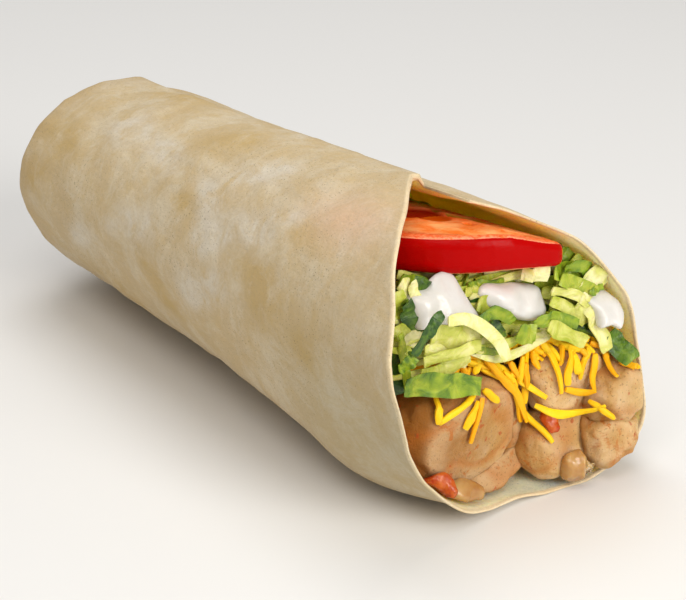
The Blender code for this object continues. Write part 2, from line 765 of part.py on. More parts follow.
# Each bit: name, middle (across, run, up), half sizes, turn and tip.
BITS = (
    ("onion_far", (0.0180, 0.0015, 0.0050), (0.0034, 0.0030, 0.0028), 20, 30),
    ("onion_near", (-0.0095, 0.0020, 0.0054), (0.0050, 0.0030, 0.0024), 10, 24),
    ("tomato_dice_near", (-0.0160, 0.0025, 0.0094), (0.0028, 0.0026, 0.0026), 15, 20),
    ("tomato_dice_middle", (0.0126, 0.0060, 0.0158), (0.0018, 0.0020, 0.0022), 20, 10),
)


def make_bits(collection, below):
    onion = food_material("onion", (0.85, 0.72, 0.42), 0.25)
    dice = food_material("tomato_dice", (0.75, 0.12, 0.04), 0.3)
    made = []
    for name, middle, half_sizes, turn, tip in BITS:
        tree = tree_of(below + made)
        bm = laid_on(tree, (name, middle, half_sizes, turn, tip), rough=0.0002, columns=10)
        material = onion if name.startswith("onion") else dice
        made.append(object_from(bm, name, collection, material))
    return made


def main():
    remove_scene_objects()
    taco = new_collection("chicken_soft_taco")
    cutters = new_collection("cutters")
    make_tortilla(taco)
    chicken = make_chicken(taco, cutters)
    cheese = make_cheese(taco, chicken)
    tomato = make_tomato(taco)
    lettuce = make_lettuce(taco, chicken + [cheese, tomato])
    make_sour_cream(taco, chicken + [cheese, lettuce, tomato])
    make_bits(taco, chicken)


main()
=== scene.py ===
"""A chicken soft taco, made to be looked at: the pieces that replace the solids, and their looks.

Metres, +Z up, with the roll along Y and its mouth facing -Y. "Run" is the distance from the
plane of the mouth towards the folded end. "Angle" goes round the roll in degrees: 0 is its far
side (+X), 90 its top, 180 its near side and 270 its underside.
"""

import math
import random

import bpy
import numpy as np
from mathutils import Matrix, Vector, noise
from mathutils.bvhtree import BVHTree


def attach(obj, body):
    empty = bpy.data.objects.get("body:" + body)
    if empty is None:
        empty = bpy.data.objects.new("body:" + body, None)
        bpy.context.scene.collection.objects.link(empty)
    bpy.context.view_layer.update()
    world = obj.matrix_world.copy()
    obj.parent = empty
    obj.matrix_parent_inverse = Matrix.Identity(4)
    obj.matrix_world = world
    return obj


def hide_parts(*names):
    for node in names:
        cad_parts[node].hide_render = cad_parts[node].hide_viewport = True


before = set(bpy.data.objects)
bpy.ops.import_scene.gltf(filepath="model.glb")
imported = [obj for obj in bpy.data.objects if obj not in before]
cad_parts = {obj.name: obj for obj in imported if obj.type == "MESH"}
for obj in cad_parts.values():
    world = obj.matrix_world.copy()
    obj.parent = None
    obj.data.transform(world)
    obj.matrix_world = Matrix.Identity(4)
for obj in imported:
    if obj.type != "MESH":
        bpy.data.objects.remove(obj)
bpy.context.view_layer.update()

# ---------------------------------------------------------------- camera, floor and light
# The camera stands low over the near side of the mouth, far enough away to flatten the roll.
# The floor is a plain pale sheet, and four wide soft lights stand round the food.

CAMERA_PLACE, CAMERA_AIM = (-0.25151, -0.3900, 0.21275), Vector((0.00626, -0.00786, 0.0190))
LIGHTS_AIM = Vector((0, -0.02, 0.03))
# Each light: its place, its width, its power and its colour.
LIGHTS = (
    ((-0.42, -0.45, 0.80), 0.50, 3.1, (1.0, 0.97, 0.93)),
    ((0.05, -0.85, 0.50), 0.40, 4.6, (1.0, 0.98, 0.95)),
    ((0.20, -0.90, 0.20), 0.40, 1.9, (1.0, 0.97, 0.92)),
    ((0.10, 0.30, 0.95), 0.60, 3.5, (0.97, 0.98, 1.0)),
)


def turn_to(obj, target):
    """Turns a camera or a light to face a place."""
    obj.rotation_euler = (target - obj.location).to_track_quat("-Z", "Y").to_euler()


bpy.ops.object.select_all(action="DESELECT")
bpy.ops.object.camera_add(location=CAMERA_PLACE)
camera = bpy.context.object
camera.data.lens = 116.9
camera.data.sensor_width = 36
turn_to(camera, CAMERA_AIM)
bpy.context.scene.camera = camera

bpy.context.scene.view_settings.view_transform = "Standard"

for place, size, power, colour in LIGHTS:
    bpy.ops.object.light_add(type="AREA", location=place)
    light = bpy.context.object
    light.data.size = size
    light.data.energy = power
    light.data.color = colour
    turn_to(light, LIGHTS_AIM)

world = bpy.data.worlds.new("studio")
world.use_nodes = True
world.node_tree.nodes["Background"].inputs["Color"].default_value = (1.0, 0.985, 0.96, 1)
world.node_tree.nodes["Background"].inputs["Strength"].default_value = 0.33
bpy.context.scene.world = world

FLOOR_GAP = 0.0002  # keeps the floor clear of the roll's underside
bpy.ops.mesh.primitive_plane_add(size=4, location=(0, 0, -FLOOR_GAP))
floor = bpy.context.object
floor.name = "floor"
floor_finish = bpy.data.materials.new("floor")
floor_finish.use_nodes = True
floor_shader = floor_finish.node_tree.nodes["Principled BSDF"]
floor_shader.inputs["Base Color"].default_value = (0.82, 0.81, 0.79, 1)
floor_shader.inputs["Roughness"].default_value = 0.7
floor.data.materials.append(floor_finish)

# ---------------------------------------------------------------- tortilla
# One flour tortilla of 2 mm, griddled until it is mottled, rolled once round the filling. Its
# outer edge lies along the top, and one end is folded shut. It is a sphere drawn out into a
# deep cup: one pole is the middle of the closed end inside, the other is the same place outside.

ROLL_LENGTH = 0.166
MOUTH_HALF_WIDTH, MOUTH_HALF_HEIGHT = 0.0332, 0.0328
END_HALF_WIDTH, END_HALF_HEIGHT = 0.0338, 0.0252
TOP_POWER = 1.9
BOTTOM_POWER, MOUTH_BOTTOM_POWER = 2.4, 3.7
BOXY_RUN, BOXY_SPREAD = 0.0115, 0.037
LEAN = -0.256
END_DRIFT = 0.0041
FLAT_SINK = 0.0004
END_ROUNDING, END_POWER = 0.017, 1.65
BULGE, BULGE_ANGLE, BULGE_TURN, BULGE_RUN, BULGE_LENGTH = 0.045, 230, 34, 0.021, 0.013
CURL, CURL_ANGLE, CURL_TURN, CURL_LENGTH = 0.14, 225, 36, 0.0118
WALL = 0.0022
SEAM_ANGLE, INNER_EDGE_ANGLE = 78, 128
SEAM_FADE_NEAR, SEAM_FADE_FAR = 125, 100
END_LAYERS = 3
FOLD_STEP, FOLD_HEIGHT, FOLD_SLOPE = 0.0016, 0.030, -0.35
# The mouth's edge: how far back it lies at each of these angles.
LIP = ((-90, 0.0), (42, 0.0008), (62, 0.0148), (73.5, 0.0160), (77.4, 0.0286), (82, 0.0283))
LIP += ((166, -0.0094), (215, -0.0048), (270, 0.0))
CORNER_ANGLE, SWEEP_POWER = 82, 1.72
MOUTH_Y = -0.0785
AXIS_X = -0.00231
FOLDS_ANGLE, FOLDS_TURN = 112, 26
PLEATS_RUN, PLEATS_LENGTH = 0.120, 0.040


def within(value, low=0, high=1):
    return min(max(value, low), high)


def smooth_step(share):
    share = within(share)
    return share * share * (3 - 2 * share)


def between(low, high, share):
    return low + (high - low) * share


def hill(*ways):
    """1 at the top, where all of these are 0, and falling away smoothly round it."""
    return math.exp(-sum(way * way for way in ways))


def half_width(run):
    return between(MOUTH_HALF_WIDTH, END_HALF_WIDTH, within(run / ROLL_LENGTH))


def half_height(run):
    return between(MOUTH_HALF_HEIGHT, END_HALF_HEIGHT, within(run / ROLL_LENGTH))


def section(angle, run):
    """The roll's outline at this angle, as (across, up) for a half width and height of 1."""
    across, up = math.cos(math.radians(angle)), math.sin(math.radians(angle))
    boxy = hill((max(run, 0) - BOXY_RUN) / BOXY_SPREAD)
    lower_power = between(BOTTOM_POWER, MOUTH_BOTTOM_POWER, boxy)
    power = between(lower_power, TOP_POWER, 0.5 + 0.5 * math.tanh(up / 0.25))
    reach = (abs(across) ** power + abs(up) ** power) ** (-1 / power)
    return reach * across + LEAN * reach * up, reach * up


def closing(run):
    """How wide the roll still is, as a share: 1 along its length, 0 at the folded end."""
    share = within((run - (ROLL_LENGTH - END_ROUNDING)) / END_ROUNDING)
    return (1 - share**END_POWER) ** (1 / END_POWER)


def turn_between(angle, other):
    return (angle - other + 180) % 360 - 180


def swell(angle, run):
    """How much wider the roll is here: it bulges low on its near side, and its edge curls in."""
    bulge = hill(turn_between(angle, BULGE_ANGLE) / BULGE_TURN, (run - BULGE_RUN) / BULGE_LENGTH)
    curl = hill(turn_between(angle, CURL_ANGLE) / CURL_TURN, (max(run, 0) / CURL_LENGTH) ** 0.75)
    return 1 + BULGE * bulge - CURL * curl


def roll_point(angle, run, proud=0.0, layers=0.0):
    """A point that stands this far proud of the roll's outline."""
    across, up = section(angle, run)
    shrink = closing(run + layers * WALL)
    wide = (half_width(run) + proud) * shrink
    high = (half_height(run) + proud) * shrink
    wider = swell(angle, run)
    x = wide * across * wider + END_DRIFT * run / ROLL_LENGTH
    z = half_height(run) + high * up * between(1, wider, 0.6) - FLAT_SINK
    return Vector((x + AXIS_X, run + MOUTH_Y, max(z, -min(proud, 0.0))))


def outer_step(angle):
    """How far the outer layer stands over the inner one on the near side of the seam."""
    turn = (angle - SEAM_ANGLE) % 360
    if turn < SEAM_FADE_NEAR:
        return WALL / 2 * (1 - smooth_step(turn / SEAM_FADE_NEAR))
    return -WALL / 2 * (1 - smooth_step((360 - turn) / SEAM_FADE_FAR))


def inner_step(angle):
    """The same for the inside, where the inner layer runs on under the outer one and thins out."""
    angle %= 360
    step = outer_step(angle) - WALL
    if SEAM_ANGLE < angle < INNER_EDGE_ANGLE:
        step -= WALL * (1 - smooth_step((angle - SEAM_ANGLE) / (INNER_EDGE_ANGLE - SEAM_ANGLE)))
    return step


def lip_run(angle):
    """Where the mouth's edge lies: it dips back at the top and comes forward low down."""
    angle = (angle + 90) % 360 - 90
    for (start, first), (end, last) in zip(LIP, LIP[1:]):
        if angle <= end:
            share = (angle - start) / (end - start)
            swept = 1 - (1 - share) ** SWEEP_POWER if start == CORNER_ANGLE else smooth_step(share)
            return between(first, last, swept)
    return 0.0


COLUMNS = 264
LIP_THIN, LIP_TAPER = 0.34, 0.016  # the sheet is thinner at its edge
INNER_END, INNER_ROWS, LIP_ROWS, OUTER_ROWS, OUTER_END = 14, 56, 9, 180, 44
END_START = 1 - END_ROUNDING / ROLL_LENGTH


def tortilla_rows():
    """Each ring of the cup, from the pole inside to the pole outside: its part and its share."""
    rows = []
    for i in range(INNER_END, 0, -1):
        rows.append(("inside", between(END_START, 1, math.sin(math.radians(86 * i / INNER_END)))))
    for i in range(INNER_ROWS, 0, -1):
        rows.append(("inside", END_START * (i / INNER_ROWS) ** 1.4))
    for i in range(LIP_ROWS + 1):
        rows.append(("lip", i / LIP_ROWS))
    for i in range(1, OUTER_ROWS + 1):
        rows.append(("outside", END_START * (i / OUTER_ROWS) ** 1.08))
    for i in range(1, OUTER_END + 1):
        rows.append(("outside", between(END_START, 1, math.sin(math.radians(88 * i / OUTER_END)))))
    return rows


def column_angle(column):
    """Even columns, drawn close together at the outer layer's free edge."""
    turn = column / COLUMNS * 2 - 1
    eased = 0.30 * turn + 0.70 * turn * abs(turn) ** 0.6
    return SEAM_ANGLE + 180 + 180 * eased


def wrinkle(point, scale, stretch, seed):
    """Sharp-crested folds that run along the roll."""
    place = Vector((point.x * scale, point.y * scale / stretch, point.z * scale + seed))
    return 1 - 2 * abs(noise.noise(place))


def tortilla_relief(angle, run, point):
    """Dents, low blisters and fine folds of the rolled sheet, as a height over its plain shape."""
    dents = 0.00055 * noise.noise(point * 38) + 0.00026 * noise.noise(point * 105)
    blisters = 0.00055 * max(noise.noise(point * 150 + Vector((3, 1, 7))) - 0.22, 0)
    top = hill(turn_between(angle, FOLDS_ANGLE) / FOLDS_TURN)
    folds = 0.00026 * top * wrinkle(point, 210, 5, 2.0) * smooth_step(run / 0.05)
    end = smooth_step((run - PLEATS_RUN) / PLEATS_LENGTH)
    pleats = 0.00045 * end * wrinkle(point, 95, 1.6, 5.0)
    edge = hill((run - lip_run(angle)) / 0.006)
    wave = 0.00035 * edge * math.sin(math.radians(angle) * 9 + 1.0)
    return dents + blisters + folds + pleats + wave


def fold_dip(point, run):
    """The last fold is pulled up from below, and its edge stands over the layers behind it."""
    wander = 0.0016 * noise.noise(Vector((point.x * 90, 0.3, 4.1)))
    edge = FOLD_HEIGHT + FOLD_SLOPE * (point.x - AXIS_X) + wander
    above = 0.5 + 0.5 * math.tanh((point.z - edge) / 0.00055)
    groove = hill((point.z - edge - 0.0008) / 0.0008)
    return (FOLD_STEP * above + 0.0007 * groove) * (1 - closing(run)) ** 0.7


def tortilla_point(part, share, angle):
    """Where a point of the sheet lies, and how far along the roll that is."""
    outer, inner = outer_step(angle), inner_step(angle)
    if part == "lip" or part == "inside":
        behind = 0.0 if part == "lip" else share * ROLL_LENGTH
        inner = outer - (outer - inner) * between(LIP_THIN, 1, smooth_step(behind / LIP_TAPER))
    ragged = 0.0007 * noise.noise(Vector((math.cos(math.radians(angle)) * 4, angle / 40, 1.7)))
    lip = lip_run(angle) + ragged * smooth_step(abs(turn_between(angle, SEAM_ANGLE)) / 20)
    wander = 1.1 * noise.noise(Vector((share * 5, 0.5, 9.0)))
    angle += wander * hill(turn_between(angle, SEAM_ANGLE) / 14)
    if part == "lip":
        run = lip + WALL / 3 * (1 - math.sin(math.pi * share))
        proud = between(inner, outer, (1 - math.cos(math.pi * share)) / 2)
    else:
        length = ROLL_LENGTH if part == "outside" else ROLL_LENGTH - END_LAYERS * WALL
        run = share * length + (lip + WALL / 3) * (1 - share) ** 2
        proud = outer if part == "outside" else inner
    layers = END_LAYERS if part == "inside" else 0
    base = roll_point(angle, run, proud, layers)
    relief = tortilla_relief(angle, run, base)
    if part == "inside":
        relief = min(relief, 0.0) * 0.3 + max(relief, 0.0) * 0.8
    point = roll_point(angle, run, proud + relief, layers)
    if part == "outside":
        point.y -= fold_dip(point, run)
        point.z = max(point.z, 0.0001)
    return point, run


# The tomato's pink is painted on the sheet over it, a painted glow of its light through the thin
# sheet;
# alongside, low on the near side, the sheet is painted darker and greyer, partly damp and partly
# painted shade.
TOMATO_GLOW_ANGLE, TOMATO_GLOW_TURN, TOMATO_GLOW_RUN, TOMATO_GLOW_LENGTH = 117, 13, 0.022, 0.013
DAMP_SHADE_ANGLE, DAMP_SHADE_TURN, DAMP_SHADE_RUN, DAMP_SHADE_FADE = 198, 34, 0.052, 0.046
# It is painted browner round the folded end, less so at its very tip: partly toasting, partly
# painted shade where the end turns away. Low along its underside it is painted darker as shade.
END_TOAST_AND_SHADE, END_TIP, LOW_SHADE = 0.138, 0.158, 0.014
# Pale and toasted patches of the sheet: each one's angle, its run in mm, and how far it spreads.
PALE = ((114, 111, 9), (124, 93, 8), (160, 96, 9), (130, 66, 9), (112, 57, 8), (129, 39, 8))
PALE += ((147, 58, 9), (171, 61, 8), (142, 45, 7), (186, 120, 9))
TOASTED = ((100, 81, 11), (144, 78, 8), (132, 138, 10), (154, 144, 9), (178, 85, 8), (210, 109, 9))
TOASTED += ((193, 81, 8), (162, 39, 8), (135, 31, 7), (172, 21, 8), (84, 118, 10))


def patch_tone(angle, run, point):
    """How pale (over 0) or how toasted (under 0) the sheet is here."""
    stray = [noise.noise(point * 55 + Vector((0, 0, shift))) for shift in (0, 7)]
    tone = 0.0
    for sign, patches in ((1, PALE), (-1, TOASTED)):
        for middle, where, spread in patches:
            turn = turn_between(angle + 13 * stray[0], middle)
            ahead = run * 1000 - where + 9 * stray[1]
            tone += sign * hill(turn / spread, ahead / spread)
    return within(tone, -1)


def globe_place(point, columns):
    """Where a point of a plain sphere lies: its level, from 0 at the top to 1, and its column."""
    level = math.acos(within(point.z, -1)) / math.pi
    return level, round(math.atan2(point.y, point.x) / math.tau * columns) % columns


rows = tortilla_rows()
bpy.ops.object.select_all(action="DESELECT")
bpy.ops.mesh.primitive_uv_sphere_add(segments=COLUMNS, ring_count=len(rows) + 1, radius=1)
tortilla = bpy.context.object
tortilla.name = "tortilla_roll"
middle = Vector((AXIS_X + END_DRIFT, MOUTH_Y, END_HALF_HEIGHT))
marks = {"toast_and_shade": [], "tomato_glow": [], "damp_and_shade": [], "indoors": [], "patches": []}
for vertex in tortilla.data.vertices:
    level, column = globe_place(vertex.co, COLUMNS)
    row = round(level * (len(rows) + 1)) - 1
    if row < 0:
        vertex.co = middle + Vector((0, ROLL_LENGTH - END_LAYERS * WALL, 0))
        part, run, angle = "inside", ROLL_LENGTH, 0
    elif row >= len(rows):
        vertex.co = middle + Vector((0, ROLL_LENGTH, 0))
        part, run, angle = "outside", ROLL_LENGTH, 0
    else:
        part, share = rows[row]
        angle = column_angle(column + 0.5)
        vertex.co, run = tortilla_point(part, share, angle)
    # Painted toasting and shade round the folded end, and painted shade low along the underside.
    tip = smooth_step((run - END_TIP) / 0.008)
    end_band = smooth_step((run - END_TOAST_AND_SHADE) / 0.022) * (1 - 0.5 * tip)
    low_band = smooth_step((LOW_SHADE - vertex.co.z) / 0.012) * smooth_step(run / 0.05)
    marks["toast_and_shade"].append(0.0 if part == "inside" else max(end_band, 0.8 * low_band))
    # Painted glow of the tomato's light through the sheet over it.
    round_tomato_glow = turn_between(angle, TOMATO_GLOW_ANGLE) / TOMATO_GLOW_TURN
    marks["tomato_glow"].append(hill((run - TOMATO_GLOW_RUN) / TOMATO_GLOW_LENGTH, round_tomato_glow))
    # Painted shade, partly damp, low on the near side by the mouth.
    round_damp_shade = turn_between(angle, DAMP_SHADE_ANGLE) / DAMP_SHADE_TURN
    marks["damp_and_shade"].append(smooth_step((DAMP_SHADE_RUN - run) / DAMP_SHADE_FADE) * hill(round_damp_shade))
    marks["patches"].append(patch_tone(angle, run, vertex.co) if part == "outside" else 0.0)
    marks["indoors"].append({"inside": 1.0, "lip": 0.5, "outside": 0.0}[part])


def add_values(obj, **lists):
    """Stores lists of one number for each point, for a finish to read."""
    for name, values in lists.items():
        attribute = obj.data.attributes.new(name, "FLOAT", "POINT")
        attribute.data.foreach_set("value", values)


def edit_all(obj):
    """Opens one object in edit mode, with all of it selected and nothing else."""
    bpy.ops.object.select_all(action="DESELECT")
    bpy.context.view_layer.objects.active = obj
    obj.select_set(True)
    bpy.ops.object.mode_set(mode="EDIT")
    bpy.ops.mesh.select_all(action="SELECT")


def tidy_surface(obj, sharp_degrees=None):
    """Turns the faces outwards and shades them smooth, but for edges sharper than this."""
    edit_all(obj)
    bpy.ops.mesh.normals_make_consistent(inside=False)
    bpy.ops.object.mode_set(mode="OBJECT")
    if sharp_degrees:
        bpy.ops.object.shade_smooth_by_angle(angle=math.radians(sharp_degrees))
    else:
        bpy.ops.object.shade_smooth()


add_values(tortilla, **marks)
tidy_surface(tortilla)


def wire(tree, kind, inputs=None, **settings):
    """Adds one shader node. Each input is a plain value or the output of another node."""
    made = tree.nodes.new("ShaderNode" + kind)
    for name, value in settings.items():
        setattr(made, name, value)
    for socket, value in (inputs or {}).items():
        if isinstance(value, bpy.types.NodeSocket):
            tree.links.new(value, made.inputs[socket])
        else:
            made.inputs[socket].default_value = value
    return made


def blended(tree, share, first, second, kind="MIX"):
    """One colour laid over another, by a share between 0 and 1."""
    mix = tree.nodes.new("ShaderNodeMix")
    mix.data_type = "RGBA"
    mix.blend_type = kind
    for socket, value in ((0, share), (6, first), (7, second)):
        if isinstance(value, bpy.types.NodeSocket):
            tree.links.new(value, mix.inputs[socket])
        else:
            mix.inputs[socket].default_value = value if socket == 0 else (*value, 1)
    return mix.outputs[2]


def stretched(tree, value, low, high, start=0.0, end=1.0):
    """A value that runs from start to end, where the one given runs from low to high."""
    span = {"Value": value, "From Min": low, "From Max": high, "To Min": start, "To Max": end}
    return wire(tree, "MapRange", span).outputs["Result"]


def mottle(tree, place, scale, low, high, detail, roughness=0.6, twist=0.0):
    """Cloudy patches, from 0 to 1: the noise below low is 0 and above high is 1."""
    cloud = {"Vector": place, "Scale": scale, "Detail": detail, "Roughness": roughness}
    cloud = wire(tree, "TexNoise", {**cloud, "Distortion": twist}).outputs["Fac"]
    return stretched(tree, cloud, low, high)


def maths(tree, operation, *values):
    return wire(tree, "Math", dict(enumerate(values)), operation=operation).outputs[0]


def tinted(tree, colour, share, most, tint):
    """The colour with a tint laid over it, by the share given, up to this most."""
    return blended(tree, maths(tree, "MULTIPLY", share, most), colour, tint)


def new_finish(name, **sockets):
    """A new material, with its shader and the place that its patterns are laid out on."""
    material = bpy.data.materials.new(name)
    material.use_nodes = True
    tree = material.node_tree
    shader = tree.nodes["Principled BSDF"]
    for socket, value in sockets.items():
        shader.inputs[socket.replace("_", " ")].default_value = value
    place = tree.nodes.new("ShaderNodeTexCoord").outputs["Object"]
    return material, tree, shader, place


def stored(tree, name):
    return wire(tree, "Attribute", attribute_name=name).outputs["Fac"]


def surface(tree, shader, colour, height, depth, strength=1.0):
    """Sets the colour, and fine relief that is too small for the mesh, its depth in metres."""
    tree.links.new(colour, shader.inputs["Base Color"])
    bump = wire(tree, "Bump", {"Height": height, "Distance": depth, "Strength": strength})
    tree.links.new(bump.outputs["Normal"], shader.inputs["Normal"])


finish, tree, shader, place = new_finish(
    "griddled tortilla",
    Roughness=0.72,
    Specular_IOR_Level=0.28,
    Subsurface_Radius=(0.005, 0.0035, 0.0018),
    Subsurface_Scale=1.0,
)
indoors = stored(tree, "indoors")
glow = stretched(tree, indoors, 0.5, 1.0, 0.06, 1.0)
tree.links.new(glow, shader.inputs["Subsurface Weight"])
spread = mottle(tree, place, 85, 0.42, 0.60, 6, 0.70, 0.5)
blotches = mottle(tree, place, 140, 0.46, 0.64, 6, 0.72, 0.8)
ragged = mottle(tree, place, 120, 0.36, 0.56, 6, 0.74, 0.6)
streaks = wire(tree, "Mapping", {"Vector": place, "Scale": (1.0, 0.30, 1.0)}).outputs[0]
streaks = mottle(tree, streaks, 420, 0.35, 0.70, 4, 0.7)
patches = stored(tree, "patches")
pale = stretched(tree, patches, 0.05, 0.7, 0.0, 0.90)
toasted = stretched(tree, patches, -0.05, -0.8, 0.0, 0.85)
colour = blended(tree, spread, (0.63, 0.48, 0.27), (0.71, 0.595, 0.41))
colour = tinted(tree, colour, blotches, 0.50, (0.61, 0.44, 0.20))
colour = tinted(tree, colour, pale, ragged, (0.74, 0.66, 0.53))
colour = tinted(tree, colour, toasted, ragged, (0.58, 0.40, 0.155))
# Painted toasting and shade at the folded end, painted shade low down.
colour = tinted(tree, colour, stored(tree, "toast_and_shade"), 0.62, (0.45, 0.29, 0.12))
# Painted glow: the tomato's pink showing through the sheet.
colour = tinted(tree, colour, stored(tree, "tomato_glow"), 0.55, (0.80, 0.50, 0.34))
# Painted shade, partly the damp of the filling: darker and greyer low on the near side by the
# mouth.
damp_and_shade = maths(tree, "MULTIPLY", stored(tree, "damp_and_shade"), 0.85)
colour = blended(tree, damp_and_shade, colour, (0.74, 0.78, 0.78), "MULTIPLY")
# The inside of the sheet is painted a brighter yellow: partly oil from the filling, partly painted
# light standing in for light glowing through the thin sheet into the shaded roll.
colour = tinted(tree, colour, indoors, 0.85, (1.0, 0.81, 0.52))
grain = mottle(tree, place, 1300, 0.40, 0.66, 4, 0.8)
colour = tinted(tree, colour, streaks, 0.16, (0.50, 0.40, 0.26))
colour = tinted(tree, colour, grain, 0.26, (0.42, 0.33, 0.20))
pins = mottle(tree, place, 3000, 0.675, 0.72, 1, 0.4)
crowd = mottle(tree, place, 30, 0.40, 0.60, 2)
pins = maths(tree, "MULTIPLY", pins, stretched(tree, crowd, 0, 1, 0.10, 0.65))
colour = blended(tree, pins, colour, (0.16, 0.11, 0.05))
surface(tree, shader, colour, maths(tree, "MULTIPLY_ADD", grain, 0.5, streaks), 0.00012, 0.8)
tortilla.data.materials.append(finish)
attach(tortilla, "root")
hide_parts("tortilla")

# ---------------------------------------------------------------- chicken
# Chunks of chicken breast, stewed soft in seasoned stock and cut across: pale moist faces with
# fine pores and fibres, thicker pale rims, and red-brown seasoning that gathers in the creases.
# Behind the seven chunks that show lies the rest of the chicken, filling the roll's lower part.

# Each chunk: its node, the way its grain runs, how rough it is, how dark its near and far sides are
# painted
# (partly browning, partly painted shade from the tortilla's near lip), how far it is swollen, and
# its cut face:
# how deep, and its slopes across and up.
CHUNKS = (
    ("chicken_left", (0.9, 0.1, 0.5), 0.50, (0.95, 0.25), 0.0005, (0.0030, 0.16, -0.10)),
    ("chicken_round", (1, 0.2, -0.4), 0.35, (0.10, 0.0), 0.0018, (0.0022, 0.06, -0.10)),
    ("chicken_middle", (1, 0.2, 0.7), 0.50, (0.30, 0.05), 0.0008, (0.0014, 0.20, 0.25)),
    ("chicken_far", (0.3, 0.2, 1), 0.45, (0.40, 0.05), 0.0004, (0.0016, 0.25, 0.10)),
    ("chicken_far_low", (1, 0.2, 0.8), 0.8, (0.42, 0.0), 0.0006, (0.0014, -0.15, 0.2)),
    ("chicken_slab", (0.3, 0.1, 1), 0.5, (0.50, 0.40), 0.0012, (0.0008, 0.5, 0.0)),
    ("chicken_flake", (1, 0.3, 0.3), 0.6, (0.75, 0.60), 0.0006, (0.0010, 0.1, 0.5)),
    ("chicken_bed", (0.4, 1, 0.3), 1.2, (1.0, 0.80), 0.0, None),
)
FACE_ROUNDING, FACE_HOLLOW = 0.0009, 2.4
CHICKEN_LOWEST = 0.0012
FINE_MESH, BED_MESH = 0.00034, 0.0009


def fresh_copy(node, name, voxel):
    """A close-meshed copy of a solid, to shape."""
    obj = bpy.data.objects.new(name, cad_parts[node].data.copy())
    obj.data.materials.clear()
    bpy.context.scene.collection.objects.link(obj)
    edit_all(obj)
    bpy.ops.mesh.remove_doubles(threshold=0.00001)
    bpy.ops.object.mode_set(mode="OBJECT")
    remesh = obj.modifiers.new("even mesh", "REMESH")
    remesh.mode = "VOXEL"
    remesh.voxel_size = voxel
    bpy.ops.object.modifier_apply(modifier=remesh.name)
    return obj


def ease(obj, rounds):
    """Rounds off a mesh a little more with each round."""
    smooth = obj.modifiers.new("ease", "SMOOTH")
    smooth.iterations = rounds
    bpy.context.view_layer.objects.active = obj
    bpy.ops.object.modifier_apply(modifier=smooth.name)


def points_and_normals(obj):
    """Each point, with the way its surface faces before any of them is moved."""
    normals = [vertex.normal.copy() for vertex in obj.data.vertices]
    return zip(obj.data.vertices, normals)


def ridged(point):
    """Noise with sharp crests, from -1 to 1."""
    return 1 - 2 * abs(noise.noise(point))


def slice_face(obj, grow, cut):
    """Swells a chunk a little, and slices off its front: how deep, and how it slopes.

    Returns how near each point is to the slice's rounded edge."""
    for vertex, out in points_and_normals(obj):
        vertex.co += out * grow
    if cut is None:
        return [0.0] * len(obj.data.vertices)
    depth, slope_across, slope_up = cut
    points = np.array([vertex.co for vertex in obj.data.vertices])
    middle = (points.min(0) + points.max(0)) / 2
    first = points[:, 1].min() + depth
    rims = []
    for vertex in obj.data.vertices:
        across, up = vertex.co.x - middle[0], vertex.co.z - middle[2]
        plane = first + slope_across * across + slope_up * up
        plane += 0.0007 * noise.noise(vertex.co * 85) + FACE_HOLLOW * across * across
        over = (vertex.co.y - plane) / FACE_ROUNDING
        rims.append(hill((over + 0.4) / 1.5))
        vertex.co.y = plane + FACE_ROUNDING * (math.log1p(math.exp(min(over * 2, 30))) / 2)
    return rims


def shape_meat(obj, grain_way, amount, seed, rims):
    """Lobes and creases, torn fibres along the grain, and pores. The creases hold the seasoning."""
    along_grain = Vector(grain_way).normalized()
    creases, tears = [], []
    for vertex, out in points_and_normals(obj):
        point = vertex.co + Vector((seed * 0.11, 0, 0))
        grain = point - along_grain * point.dot(along_grain) * 0.86
        lobes = noise.noise(point * 150)
        crease = max(ridged(point * 80 + Vector((0, 0, seed))) - 0.62, 0) / 0.38
        torn = smooth_step(noise.noise(point * 95 + Vector((seed, 5, 2))) * 2.4 + 0.15)
        layers = ridged(grain * 300) * torn
        fibres = ridged(grain * 760) * torn
        pores = max(noise.noise(point * 640) - 0.36, 0)
        fine = noise.noise(point * 420)
        height = 0.00026 * lobes - 0.00034 * crease**2 + 0.00026 * layers + 0.00014 * fibres
        vertex.co += out * (height + 0.00012 * fine - 0.0007 * pores) * amount
        vertex.co.z = max(vertex.co.z, CHICKEN_LOWEST)
        creases.append(min(crease + 0.5 * max(-lobes, 0), 1))
        tears.append(torn)
    add_values(obj, crease=creases, torn=tears, rim=rims)


def ramp(tree, value, *stops):
    """A colour for each value between these stops, from 0 to 1: where each lies, and its colour."""
    made = tree.nodes.new("ShaderNodeValToRGB")
    tree.links.new(value, made.inputs["Fac"])
    bands = made.color_ramp.elements
    bands[0].color, bands[1].color = (*stops[0][1], 1), (*stops[-1][1], 1)
    for where, colour in stops[1:-1]:
        bands.new(where).color = (*colour, 1)
    return made.outputs["Color"]


finish, tree, shader, place = new_finish(
    "stewed chicken",
    Specular_IOR_Level=0.25,
    Subsurface_Weight=0.25,
    Subsurface_Radius=(0.003, 0.0016, 0.0008),
    Subsurface_Scale=0.4,
)
meat = mottle(tree, place, 100, 0.38, 0.62, 6, 0.72, 0.6)
brown, tan, buff = (0.66, 0.38, 0.11), (0.82, 0.53, 0.20), (0.93, 0.70, 0.40)
colour = ramp(tree, meat, (0.0, brown), (0.5, tan), (1.0, buff))
cloudy = mottle(tree, place, 420, 0.35, 0.65, 3)
colour = tinted(tree, colour, cloudy, 0.25, (0.60, 0.36, 0.14))
